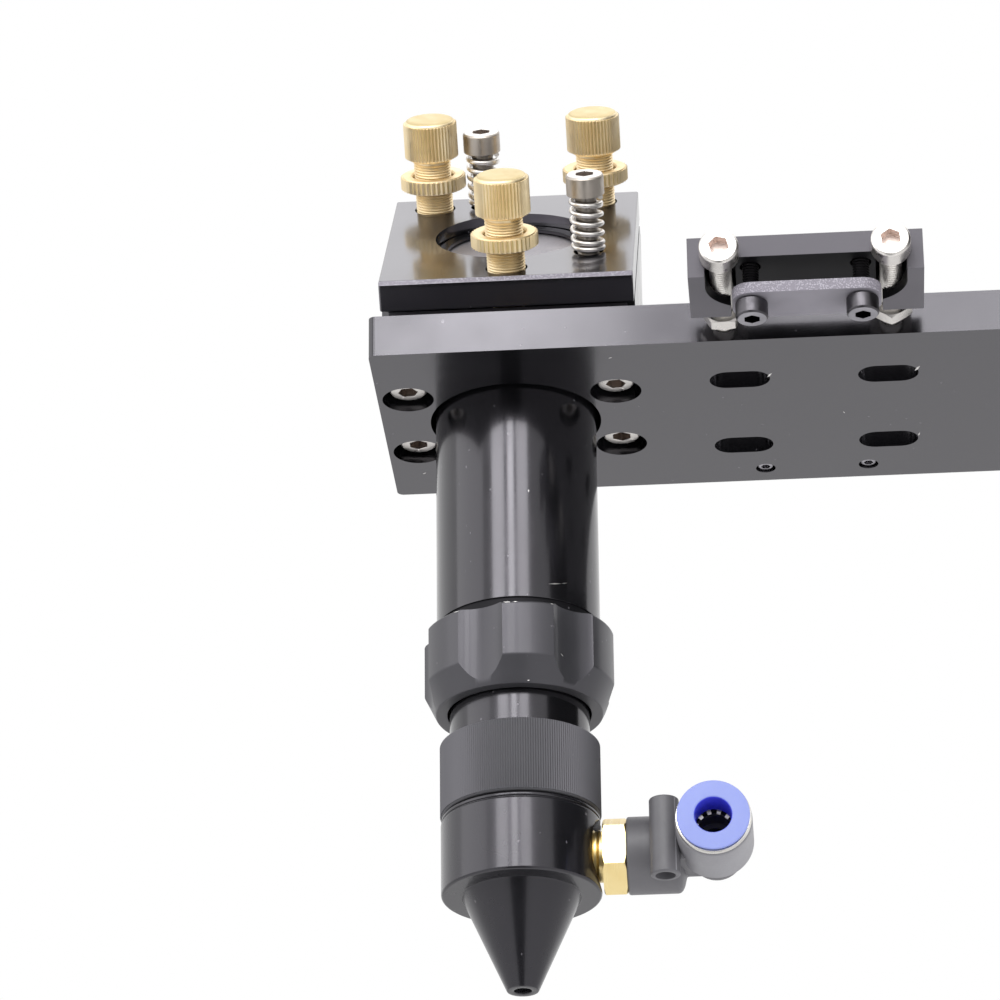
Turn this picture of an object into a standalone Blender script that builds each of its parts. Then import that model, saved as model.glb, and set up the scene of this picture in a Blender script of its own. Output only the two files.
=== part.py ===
"""Laser cutting head on its mounting bar: mirror mount on top, focus tube and nozzle below.

Axes: +Z up, the bar along X, the side with the belt clamp and the thumb screws at -Y.
Origin: centre of the four carriage slots, on the bar's underside, which sits on the carriage.
"""
from math import acos, cos, pi, radians, sin, sqrt

import bmesh
import bpy
from mathutils import Matrix, Vector

MM = 0.001

# Clearances
SEAT_GAP = 0.3 * MM          # between two pieces that rest on each other
RUN_GAP = 0.3 * MM           # all round a piece that turns or slides in another
THREAD_GAP = 0.3 * MM        # all round a screw in its tapped hole

# Mounting bar
BAR_THICKNESS = 7.5 * MM
BAR_WIDTH = 55.0 * MM
BAR_LENGTH = 116.3 * MM
BAR_END_PAST_TUBE = 23.3 * MM
BAR_CORNER = 1.2 * MM
BAR_EDGE = 0.4 * MM
SLOTS_TO_TUBE = 52.25 * MM
SLOT_PITCH = 25.5 * MM
SLOT_LENGTH = 10.4 * MM
SLOT_WIDTH = 6.0 * MM
SLOT_END_FLAT = 0.02 * MM      # keeps the two arcs of an end apart

# Focus tube and its lock collar; the tube's length is below the bar's underside
TUBE_RADIUS = 14.0 * MM
TUBE_WALL = 1.8 * MM
TUBE_IN_BLOCK = 6.5 * MM
TUBE_THREAD_LENGTH = 13.7 * MM
TUBE_THREAD_DEPTH = 0.3 * MM
TUBE_LENGTH = 53.5 * MM
TUBE_BORE_GAP = 0.9 * MM
COLLAR_BELOW_TUBE = 2.3 * MM
COLLAR_HEIGHT = 13.8 * MM
COLLAR_WALL = 2.35 * MM
COLLAR_TAPER_HEIGHT = 4.5 * MM
COLLAR_TAPER = 2.15 * MM
COLLAR_LIP = 2.0 * MM
COLLAR_EDGE = 0.2 * MM
COLLAR_FLUTES = 6
COLLAR_SIDES = 48
COLLAR_FLUTE_RADIUS = 8.05 * MM
COLLAR_FLUTE_DEPTH = 1.65 * MM
COLLAR_TURN = radians(9.6)
INNER_TUBE_WALL = 1.2 * MM
INNER_TUBE_IN_TUBE = 33.5 * MM
INNER_TUBE_IN_CELL = 4.0 * MM

# Lens cell, lens and nozzle; each radius follows from the tube's
CELL_WALL = 1.7 * MM
CELL_BELOW_COLLAR = 5.7 * MM
CELL_HEIGHT = 13.1 * MM
CELL_WEB = 1.0 * MM
CELL_WEB_LIP = 1.6 * MM
CELL_EDGE = 0.35 * MM
LENS_INSET = 1.7 * MM
LENS_EDGE = 1.4 * MM
LENS_CROWN = 0.8 * MM
LENS_STEPS = 4
LENS_SEAL_WIRE = 0.5 * MM
RETAINER_HEIGHT = 0.8 * MM
RETAINER_WIDTH = 1.6 * MM
NOZZLE_INSET = 0.1 * MM
NOZZLE_BELOW_CELL = 0.3 * MM
NOZZLE_BODY_LENGTH = 13.8 * MM
NOZZLE_CONE_LENGTH = 16.6 * MM
NOZZLE_LEDGE = 3.45 * MM
NOZZLE_TIP_RADIUS = 2.65 * MM
NOZZLE_HOLE_RADIUS = 1.45 * MM
NOZZLE_WALL = 3.2 * MM
NOZZLE_BORE_TO_SHOULDER = 2.2 * MM
NOZZLE_THREAD_INSET = 1.9 * MM
NOZZLE_SPOT_DEPTH = 1.5 * MM
NOZZLE_SPOT_RADIUS = 6.2 * MM
PORT_ABOVE_SHOULDER = 6.7 * MM
NOZZLE_EDGE = 0.3 * MM

# Gas fitting; the port's lengths are along Y, to the front of its axis
FITTING_NECK_RADIUS = 4.5 * MM
FITTING_NECK_BITE = 3.0 * MM
FITTING_NECK_LENGTH = 1.5 * MM
FITTING_HEX_LENGTH = 4.3 * MM
FITTING_HEX_FLATS = 11.8 * MM
FITTING_HEX_CHAMFER = 0.6 * MM
FITTING_SPIGOT_RADIUS = 4.0 * MM
FITTING_SPIGOT_LENGTH = 4.2 * MM
FITTING_SPIGOT_ROOT = 2.2 * MM
FITTING_BORE = 2.2 * MM
ELBOW_LEG_RADIUS = 6.55 * MM
ELBOW_LEG_LENGTH = 8.5 * MM
ELBOW_LEG_TAPER = 1.1 * MM
ELBOW_ARM_RADIUS = 3.8 * MM
ELBOW_ARM_PAST_PORT = 1.25 * MM
ELBOW_BEND_RADIUS = 4.6 * MM
ELBOW_CHANNEL_PAST_PORT = 0.55 * MM
PORT_FROM_LEG = 14.65 * MM
PORT_RADIUS = 6.4 * MM
PORT_FRONT = 15.1 * MM
PORT_BACK = 4.8 * MM
PORT_BACK_TAPER = 0.9 * MM
PORT_CAVITY_RADIUS = 4.9 * MM
PORT_CAVITY_DEPTH = 6.5 * MM
PORT_CHANNEL = 2.4 * MM
AIR_TUBE_RADIUS = 3.0 * MM
AIR_TUBE_STOP = 3.4 * MM
BOSS_RADIUS = 2.5 * MM
BOSS_HOLE = 1.7 * MM
BOSS_HEIGHT = 14.1 * MM
BOSS_FROM_LEG = 6.3 * MM
BOSS_Y = 8.6 * MM
BOSS_WEB_HEIGHT = 8.0 * MM
BOSS_WEB_BITE = 1.1 * MM
PORT_RING_RADIUS = 6.3 * MM
PORT_RING_LENGTH = 1.0 * MM
COLLET_FLANGE_RADIUS = 6.05 * MM
COLLET_FLANGE = 0.5 * MM
COLLET_TRAVEL = 0.5 * MM
COLLET_REST_GAP = 0.1 * MM
COLLET_BORE_GAP = 0.1 * MM
COLLET_LENGTH = 5.6 * MM
GRAB_RING_THICKNESS = 0.4 * MM
GRAB_RING_WIDTH = 1.5 * MM
SEAL_WIRE = 0.65 * MM

# Mirror mount: a block with a 45 degree face, and an adjustable plate over that face
BLOCK_FRONT = 18.0 * MM
BLOCK_BACK = 20.0 * MM
BLOCK_FRONT_WALL = 5.35 * MM
BLOCK_TOP_RUN = 5.15 * MM
BLOCK_CORNER = 1.3 * MM
BEAM_SHAFT = 8.0 * MM
BEAM_WINDOW = 6.0 * MM
MIRROR_PLATE_WIDTH = 43.9 * MM
MIRROR_PLATE_LENGTH = 50.2 * MM
MIRROR_PLATE_THICKNESS = 5.4 * MM
MIRROR_PLATE_GAP = 0.9 * MM
MIRROR_PLATE_OVERHANG = 2.55 * MM
MIRROR_PLATE_EDGE = 0.7 * MM
MIRROR_SHARE = 0.249          # its radius, as a share of the plate's length
MIRROR_THICKNESS = 1.4 * MM
MIRROR_PAST_MIDDLE = 0.3 * MM
MIRROR_LIP = 0.5 * MM
MIRROR_LIP_WIDTH = 1.2 * MM
MIRROR_THREAD_WIDTH = 0.9 * MM
MIRROR_RING_HEIGHT = 0.7 * MM
MIRROR_RING_WIDTH = 2.6 * MM
MIRROR_RING_SLOT = 1.2 * MM
MIRROR_RING_SLOT_DEPTH = 0.45 * MM

# Thumb screws and lock nuts; heights are above the mirror plate's face
THUMB_THREAD_RADIUS = 3.35 * MM
THUMB_HEAD_RADIUS = 4.8 * MM
THUMB_HEAD_START = 9.4 * MM
THUMB_HEAD_LENGTH = 7.5 * MM
THUMB_HEAD_DOME = 0.7 * MM
THUMB_TIP = 1.2 * MM
THUMB_BACK_X = 14.6 * MM
THUMB_BACK_FROM_END = 6.0 * MM
THUMB_FRONT_FROM_END = 5.5 * MM
LOCK_NUT_RADIUS = 5.85 * MM
LOCK_NUT_START = 4.0 * MM
LOCK_NUT_HEIGHT = 2.6 * MM
LOCK_NUT_EDGE = 0.35 * MM

# M4 and M3 socket screws
M4_RADIUS = 1.9 * MM
M4_HEAD_RADIUS = 3.3 * MM
M4_HEAD_HEIGHT = 3.7 * MM
M4_SOCKET_FLATS = 3.0 * MM
M4_SOCKET_DEPTH = 2.0 * MM
M4_NUT_FLATS = 7.0 * MM
M4_NUT_HEIGHT = 2.9 * MM
M3_RADIUS = 1.45 * MM
M3_HEAD_RADIUS = 2.7 * MM
M3_HEAD_HEIGHT = 3.0 * MM
M3_SOCKET_FLATS = 2.5 * MM
M3_SOCKET_DEPTH = 1.6 * MM
SCREW_EDGE = 0.25 * MM
BLOCK_SCREW_X = 18.0 * MM
BLOCK_SCREW_Y = 10.3 * MM
BLOCK_SCREW_RECESS = 1.4 * MM
BLOCK_SCREW_BITE = 8.0 * MM
COUNTERBORE_GAP = 1.15 * MM
SET_SCREW_SPACING = 18.3 * MM
SET_SCREW_FROM_EDGE = 4.9 * MM
SET_SCREW_LENGTH = 4.0 * MM
SET_SCREW_SOCKET_FLATS = 1.5 * MM

# Spring screws that hold the mirror plate down
SPRING_RADIUS = 3.0 * MM
SPRING_WIRE = 0.75 * MM
SPRING_TURNS = 6.5
SPRING_STEPS = 8              # points per turn
SPRING_LENGTH = 9.7 * MM
SPRING_SCREW_BITE = 4.0 * MM
SPRING_HOLE_GAP = 0.7 * MM
SPRING_BACK_X = -5.5 * MM
SPRING_BACK_FROM_END = 5.8 * MM
SPRING_FRONT_X = 14.0 * MM
SPRING_FRONT_FROM_END = 13.5 * MM

# Belt clamp, carried on two M4 screws in front of the bar; heights are above the bar's underside
CLAMP_WIDTH = 39.0 * MM
CLAMP_DEPTH = 14.4 * MM
CLAMP_HEIGHT = 7.4 * MM
CLAMP_STANDOFF = 8.7 * MM
CLAMP_OFFSET = -0.75 * MM
CLAMP_EDGE = 0.3 * MM
CLAMP_BEAM = 3.9 * MM
BELT_GAP_WIDTH = 25.3 * MM
CLAMP_M4_SPACING = 28.3 * MM
CLAMP_M4_BITE = 8.0 * MM
CLAMP_NUT_STANDOFF = 3.6 * MM
CLAMP_POCKET_SIDE = 2.6 * MM
CLAMP_POCKET_OVERLAP = 1.0 * MM
CLAMP_POCKET_CORNER = 7.5 * MM
CLAMP_POCKET_WALL = 3.1 * MM
CLAMP_POCKET_ROOF = 1.0 * MM
CLAMP_M3_SPACING = 18.3 * MM
CLAMP_M3_FROM_FRONT = 3.7 * MM
JAW_THICKNESS = 2.0 * MM
JAW_DROP = 1.0 * MM
JAW_INSET = 0.4 * MM
JAW_DEPTH = 8.8 * MM
JAW_END = 3.2 * MM
JAW_TOOTH_PITCH = 2.0 * MM
JAW_TOOTH_DEPTH = 0.7 * MM
JAW_TOOTH_LENGTH = 13.0 * MM

# Places worked out from the sizes above
TUBE_X = -SLOTS_TO_TUBE
SLOPE = pi / 4
TUBE_THREAD_RADIUS = TUBE_RADIUS - TUBE_THREAD_DEPTH
INNER_TUBE_RADIUS = TUBE_RADIUS - TUBE_WALL - RUN_GAP
COLLAR_RADIUS = TUBE_RADIUS + COLLAR_WALL
COLLAR_END_RADIUS = COLLAR_RADIUS - COLLAR_TAPER
CELL_RADIUS = INNER_TUBE_RADIUS + CELL_WALL
NOZZLE_RADIUS = CELL_RADIUS - NOZZLE_INSET
NOZZLE_CONE_RADIUS = NOZZLE_RADIUS - NOZZLE_LEDGE
NOZZLE_THREAD_RADIUS = CELL_RADIUS - NOZZLE_THREAD_INSET
NOZZLE_BORE = NOZZLE_THREAD_RADIUS - NOZZLE_WALL
LENS_RADIUS = NOZZLE_THREAD_RADIUS - LENS_INSET
COLLAR_BOTTOM = -TUBE_LENGTH - COLLAR_BELOW_TUBE
COLLAR_TOP = COLLAR_BOTTOM + COLLAR_HEIGHT
CELL_TOP = COLLAR_BOTTOM - CELL_BELOW_COLLAR
CELL_BOTTOM = CELL_TOP - CELL_HEIGHT
NOZZLE_TOP = CELL_BOTTOM - NOZZLE_BELOW_CELL
NOZZLE_SHOULDER = NOZZLE_TOP - NOZZLE_BODY_LENGTH
NOZZLE_TIP = NOZZLE_SHOULDER - NOZZLE_CONE_LENGTH
NOZZLE_SPOT_FACE = NOZZLE_RADIUS - NOZZLE_SPOT_DEPTH
FITTING_Z = NOZZLE_SHOULDER + PORT_ABOVE_SHOULDER
FITTING_INNER_END = NOZZLE_SPOT_FACE - FITTING_NECK_BITE
FITTING_HEX_START = NOZZLE_SPOT_FACE + FITTING_NECK_LENGTH
FITTING_HEX_END = FITTING_HEX_START + FITTING_HEX_LENGTH
ELBOW_START = FITTING_HEX_END + SEAT_GAP
BOSS_X = ELBOW_START + BOSS_FROM_LEG
PORT_CENTRE = ELBOW_START + PORT_FROM_LEG
MIRROR_RADIUS = MIRROR_PLATE_LENGTH * MIRROR_SHARE
BAR_FRONT = -BAR_WIDTH / 2
BAR_MIDDLE = BAR_THICKNESS / 2
BLOCK_FLOOR = BAR_THICKNESS + SEAT_GAP

ROUND = 32
SMALL_ROUND = 24


def clear_scene():
    for item in list(bpy.data.objects):
        bpy.data.objects.remove(item, do_unlink=True)


def new_collection(name):
    group = bpy.data.collections.new(name)
    bpy.context.scene.collection.children.link(group)
    return group


clear_scene()
PARTS = new_collection("laser_cutting_head")
CUTTERS = new_collection("cutters")


def material(name, color, metallic, roughness):
    """A plain Principled material; color is linear RGB."""
    made = bpy.data.materials.new(name)
    made.use_nodes = True
    shader = made.node_tree.nodes["Principled BSDF"]
    shader.inputs["Base Color"].default_value = (*color, 1.0)
    shader.inputs["Metallic"].default_value = metallic
    shader.inputs["Roughness"].default_value = roughness
    made.diffuse_color = (*color, 1.0)
    return made


def finish(name):
    """The finish of one piece, as its own material named for the piece."""
    kinds = {
        "black_anodised": ((0.016, 0.016, 0.018), 0.7, 0.3),
        "pale_brass": ((0.68, 0.48, 0.17), 1.0, 0.3),
        "bright_brass": ((0.80, 0.55, 0.14), 1.0, 0.2),
        "stainless": ((0.60, 0.58, 0.55), 1.0, 0.25),
        "black_steel": ((0.02, 0.02, 0.02), 0.8, 0.45),
        "black_plastic": ((0.012, 0.012, 0.012), 0.0, 0.45),
        "blue_plastic": ((0.10, 0.13, 0.75), 0.0, 0.4),
        "nickel": ((0.70, 0.69, 0.66), 1.0, 0.25),
        "rubber": ((0.02, 0.02, 0.02), 0.0, 0.8),
        "mirror": ((0.78, 0.78, 0.78), 1.0, 0.05),
        "lens": ((0.72, 0.36, 0.06), 0.0, 0.08),
    }
    return kinds[name]


def add(name, mesh, kind=None, parent=None, at=(0, 0, 0), turn=(0, 0, 0)):
    """Link a mesh as a part, or as a cutter when it has no finish."""
    made = bpy.data.objects.new(name, mesh)
    (PARTS if kind else CUTTERS).objects.link(made)
    made.location = at
    made.rotation_euler = turn
    made.parent = parent
    if kind:
        mesh.materials.append(material(name, *finish(kind)))
        mesh.shade_smooth()
        mesh.set_sharp_from_angle(angle=radians(35))
    else:
        made.hide_render = True
        made.display_type = "WIRE"
    return made


def frame(name, at, turn=(0, 0, 0), parent=None):
    """An empty that carries other pieces, such as one on a joint's axis."""
    made = bpy.data.objects.new(name, None)
    PARTS.objects.link(made)
    made.location = at
    made.rotation_euler = turn
    made.parent = parent
    made.empty_display_size = 5 * MM
    return made


def mesh_from(build, name):
    shape = bmesh.new()
    build(shape)
    mesh = bpy.data.meshes.new(name)
    shape.to_mesh(mesh)
    shape.free()
    return mesh


def box(name, low, high, kind=None, **place):
    low, high = Vector(low), Vector(high)

    def build(shape):
        size = Matrix.Diagonal((*(high - low), 1))
        bmesh.ops.create_cube(shape, size=1, matrix=Matrix.Translation((low + high) / 2) @ size)

    return add(name, mesh_from(build, name), kind, **place)


def cylinder(name, radius, low, high, kind=None, sides=ROUND, spin=0.0, **place):
    """A round bar or a regular prism along its own Z, from low to high."""

    def build(shape):
        middle = Matrix.Translation((0, 0, (low + high) / 2)) @ Matrix.Rotation(spin, 4, "Z")
        bmesh.ops.create_cone(shape, cap_ends=True, segments=sides, radius1=radius, radius2=radius,
                              depth=high - low, matrix=middle)

    return add(name, mesh_from(build, name), kind, **place)


def turned(name, profile, kind=None, sides=ROUND, ring=False, **place):
    """A profile of (radius, height) turned about Z; it runs down the outer side."""
    mesh = bpy.data.meshes.new(name)
    points = [(radius, 0, height) for radius, height in profile]
    edges = [(i, i + 1) for i in range(len(points) - 1)]
    if ring:
        edges.append((len(points) - 1, 0))
    mesh.from_pydata(points, edges, [])
    made = add(name, mesh, kind, **place)
    spin = made.modifiers.new("turn", "SCREW")
    spin.axis = "Z"
    spin.steps = sides
    spin.render_steps = sides
    spin.use_merge_vertices = True
    spin.merge_threshold = 0.00001
    spin.use_smooth_shade = True
    return made


def torus(name, radius, wire, height, **place):
    """A rubber ring of round section."""
    steps = 8
    section = [2 * pi * i / steps for i in range(steps)]
    profile = [(radius + wire * cos(a), height - wire * sin(a)) for a in section]
    return turned(name, profile, "rubber", sides=SMALL_ROUND, ring=True, **place)


def arc(centre, radius, start, end, steps):
    """Points along an arc in the XY plane, ends included."""
    turns = [start + (end - start) * i / steps for i in range(steps + 1)]
    return [(centre[0] + radius * cos(a), centre[1] + radius * sin(a)) for a in turns]


def rounded_rectangle(low, high, radius, steps=4):
    corners = [(high[0], high[1], 0), (low[0], high[1], 1), (low[0], low[1], 2), (high[0], low[1], 3)]
    points = []
    for x, y, quarter in corners:
        centre = (x - radius if quarter in (0, 3) else x + radius, y - radius if quarter < 2 else y + radius)
        points += arc(centre, radius, quarter * pi / 2, (quarter + 1) * pi / 2, steps)
    return points


def weld(mesh):
    """Close the loose caps that a filled curve leaves."""
    shape = bmesh.new()
    shape.from_mesh(mesh)
    bmesh.ops.remove_doubles(shape, verts=shape.verts, dist=0.000001)
    bmesh.ops.recalc_face_normals(shape, faces=shape.faces)
    shape.to_mesh(mesh)
    shape.free()


def from_curve(name, curve, kind, **place):
    """Evaluate a curve and keep it as a welded mesh."""
    guide = bpy.data.objects.new(name + "_curve", curve)
    CUTTERS.objects.link(guide)
    depsgraph = bpy.context.evaluated_depsgraph_get()
    mesh = bpy.data.meshes.new_from_object(guide.evaluated_get(depsgraph))
    mesh.name = name
    bpy.data.objects.remove(guide, do_unlink=True)
    weld(mesh)
    return add(name, mesh, kind, **place)


def plate(name, outline, low, high, kind=None, **place):
    """A flat outline in XY with a thickness from low to high."""
    curve = bpy.data.curves.new(name, "CURVE")
    curve.dimensions = "2D"
    curve.fill_mode = "BOTH"
    curve.extrude = (high - low) / 2
    line = curve.splines.new("POLY")
    line.points.add(len(outline) - 1)
    for point, (x, y) in zip(line.points, outline):
        point.co = (x, y, 0, 1)
    line.use_cyclic_u = True
    made = from_curve(name, curve, kind, **place)
    made.data.transform(Matrix.Translation((0, 0, (low + high) / 2)))
    return made


def boolean(piece, tool, operation):
    step = piece.modifiers.new(tool.name, "BOOLEAN")
    step.operation = operation
    step.solver = "EXACT"
    step.object = tool


def cut(piece, tool):
    boolean(piece, tool, "DIFFERENCE")


def join(piece, tool):
    boolean(piece, tool, "UNION")


def bevel(piece, width):
    edge = piece.modifiers.new("edge", "BEVEL")
    edge.width = width
    edge.segments = 1
    edge.limit_method = "ANGLE"
    edge.angle_limit = radians(50)


def hexagon_radius(flats):
    return flats / sqrt(3)


def socket_screw(name, radius, length, head, kind, **place):
    """A socket-head screw along its own Z: the head's face at 0, the thread below it."""
    head_radius, head_height, socket_flats, socket_depth = head
    profile = [(0, 0), (head_radius - SCREW_EDGE, 0), (head_radius, -SCREW_EDGE), (head_radius, -head_height),
               (radius, -head_height), (radius, -head_height - length + SCREW_EDGE),
               (radius - SCREW_EDGE, -head_height - length), (0, -head_height - length)]
    screw = turned(name, profile, kind, sides=SMALL_ROUND, **place)
    socket = cylinder(name + "_socket", hexagon_radius(socket_flats), -socket_depth, socket_depth, sides=6,
                      parent=screw)
    cut(screw, socket)
    return screw


M4_HEAD = (M4_HEAD_RADIUS, M4_HEAD_HEIGHT, M4_SOCKET_FLATS, M4_SOCKET_DEPTH)
M3_HEAD = (M3_HEAD_RADIUS, M3_HEAD_HEIGHT, M3_SOCKET_FLATS, M3_SOCKET_DEPTH)


def signs():
    return [(x, y) for x in (-1, 1) for y in (-1, 1)]


def label(x, y):
    return ("left" if x < 0 else "right") + "_" + ("front" if y < 0 else "back")


def make_bar():
    """The mounting bar with its slots, the tube's hole and the screw recesses."""
    left = TUBE_X - BAR_END_PAST_TUBE
    outline = rounded_rectangle((left, BAR_FRONT), (left + BAR_LENGTH, -BAR_FRONT), BAR_CORNER)
    bar = plate("mounting_bar", outline, 0, BAR_THICKNESS, "black_anodised")
    bevel(bar, BAR_EDGE)
    below, above = -BAR_THICKNESS, 2 * BAR_THICKNESS
    cut(bar, cylinder("tube_hole", TUBE_RADIUS + TUBE_BORE_GAP, below, above, at=(TUBE_X, 0, 0)))
    recess = BLOCK_SCREW_RECESS + M4_HEAD_HEIGHT + SEAT_GAP
    for x, y in signs():
        place = (TUBE_X + x * BLOCK_SCREW_X, y * BLOCK_SCREW_Y, 0)
        name = "block_screw_" + label(x, y)
        wide = M4_HEAD_RADIUS + COUNTERBORE_GAP
        cut(bar, cylinder(name + "_recess", wide, below, recess, sides=SMALL_ROUND, at=place))
        cut(bar, cylinder(name + "_hole", M4_RADIUS + THREAD_GAP, below, above, sides=SMALL_ROUND, at=place))
        slot = rounded_rectangle((-SLOT_LENGTH / 2, -SLOT_WIDTH / 2), (SLOT_LENGTH / 2, SLOT_WIDTH / 2),
                                 (SLOT_WIDTH - SLOT_END_FLAT) / 2)
        centre = (x * SLOT_PITCH / 2, y * SLOT_PITCH / 2, 0)
        cut(bar, plate("carriage_slot_" + label(x, y), slot, below, above, at=centre))
    for side in (-1, 1):
        name = "left" if side < 0 else "right"
        pin = (side * SET_SCREW_SPACING / 2, -BAR_FRONT - SET_SCREW_FROM_EDGE, 0)
        pin_hole = SET_SCREW_LENGTH + 2 * SEAT_GAP
        cut(bar, cylinder("set_screw_hole_" + name, M3_RADIUS + THREAD_GAP, -pin_hole, pin_hole,
                          sides=SMALL_ROUND, at=pin))
        edge = (clamp_x(side), BAR_FRONT, BAR_MIDDLE)
        bite = CLAMP_M4_BITE + SEAT_GAP
        cut(bar, cylinder("clamp_screw_hole_" + name, M4_RADIUS + THREAD_GAP, -bite, bite,
                          sides=SMALL_ROUND, at=edge, turn=(pi / 2, 0, 0)))


def make_bar_screws():
    """The recessed screws that hold the mirror block, and two set screws in the underside."""
    length = BLOCK_FLOOR + BLOCK_SCREW_BITE - BLOCK_SCREW_RECESS - M4_HEAD_HEIGHT
    for x, y in signs():
        place = (TUBE_X + x * BLOCK_SCREW_X, y * BLOCK_SCREW_Y, BLOCK_SCREW_RECESS)
        socket_screw("block_screw_" + label(x, y), M4_RADIUS, length, M4_HEAD, "stainless", at=place,
                     turn=(pi, 0, 0))
    for side, name in ((-1, "left"), (1, "right")):
        place = (side * SET_SCREW_SPACING / 2, -BAR_FRONT - SET_SCREW_FROM_EDGE, SEAT_GAP)
        pin = cylinder("set_screw_" + name, M3_RADIUS, 0, SET_SCREW_LENGTH, "black_steel", sides=SMALL_ROUND,
                       at=place)
        socket = cylinder("set_screw_socket_" + name, hexagon_radius(SET_SCREW_SOCKET_FLATS), -SET_SCREW_LENGTH,
                          SET_SCREW_LENGTH / 2, sides=6, parent=pin)
        cut(pin, socket)


def make_slope_frame():
    """On the mirror plate's underside at its front edge: X across, Y up the slope, Z out of the face."""
    y, z = -BLOCK_FRONT, BLOCK_FLOOR + BLOCK_FRONT_WALL
    along = Vector((0, cos(SLOPE), sin(SLOPE)))
    out = Vector((0, -sin(SLOPE), cos(SLOPE)))
    origin = Vector((TUBE_X, y, z)) + out * MIRROR_PLATE_GAP - along * MIRROR_PLATE_OVERHANG
    return frame("mirror_slope", origin, (SLOPE, 0, 0))


def thumb_places():
    back = MIRROR_PLATE_LENGTH - THUMB_BACK_FROM_END
    return {"left": (-THUMB_BACK_X, back), "right": (THUMB_BACK_X, back), "front": (0, THUMB_FRONT_FROM_END)}


def spring_places():
    return {"back": (SPRING_BACK_X, MIRROR_PLATE_LENGTH - SPRING_BACK_FROM_END),
            "front": (SPRING_FRONT_X, SPRING_FRONT_FROM_END)}


def beam_height():
    """Height at which the beam meets the mirror's face above the tube's axis."""
    out = MIRROR_PLATE_GAP + MIRROR_LIP + SEAT_GAP
    return BLOCK_FLOOR + BLOCK_FRONT_WALL + BLOCK_FRONT + out / cos(SLOPE)


def make_mirror_block(slope):
    """The block under the mirror plate: bored for the beam from behind and down into the tube."""
    half = MIRROR_PLATE_WIDTH / 2
    c = BLOCK_CORNER
    outline = [(half, -BLOCK_FRONT + c), (half, BLOCK_BACK - c), (half - c, BLOCK_BACK), (-half + c, BLOCK_BACK),
               (-half, BLOCK_BACK - c), (-half, -BLOCK_FRONT + c), (-half + c, -BLOCK_FRONT),
               (half - c, -BLOCK_FRONT)]
    top = BLOCK_FLOOR + BLOCK_FRONT_WALL + BLOCK_FRONT + BLOCK_BACK - BLOCK_TOP_RUN
    block = plate("mirror_block", outline, BLOCK_FLOOR, top, "black_anodised", at=(TUBE_X, 0, 0))
    reach = 3 * MIRROR_PLATE_LENGTH
    cut(block, box("block_slope_cut", (-reach, -reach, -MIRROR_PLATE_GAP), (reach, reach, reach), parent=slope))
    cut(block, cylinder("tube_thread", TUBE_RADIUS + THREAD_GAP, 0, BAR_THICKNESS + TUBE_IN_BLOCK + SEAT_GAP,
                        at=(TUBE_X, 0, 0)))
    cut(block, cylinder("beam_shaft", BEAM_SHAFT, 0, 2 * top, at=(TUBE_X, 0, 0)))
    cut(block, cylinder("beam_window", BEAM_WINDOW, -2 * BLOCK_BACK, 2 * BLOCK_BACK,
                        at=(TUBE_X, 0, beam_height()), turn=(pi / 2, 0, 0)))
    for x, y in signs():
        cut(block, cylinder("block_thread_" + label(x, y), M4_RADIUS + THREAD_GAP, 0,
                            BLOCK_FLOOR + BLOCK_SCREW_BITE + SEAT_GAP, sides=SMALL_ROUND,
                            at=(TUBE_X + x * BLOCK_SCREW_X, y * BLOCK_SCREW_Y, 0)))
    deep = MIRROR_PLATE_GAP + SPRING_SCREW_BITE + SEAT_GAP
    for name, (x, y) in spring_places().items():
        cut(block, cylinder("spring_thread_" + name, M4_RADIUS + THREAD_GAP, -deep, deep, sides=SMALL_ROUND,
                            parent=slope, at=(x, y, 0)))


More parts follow.
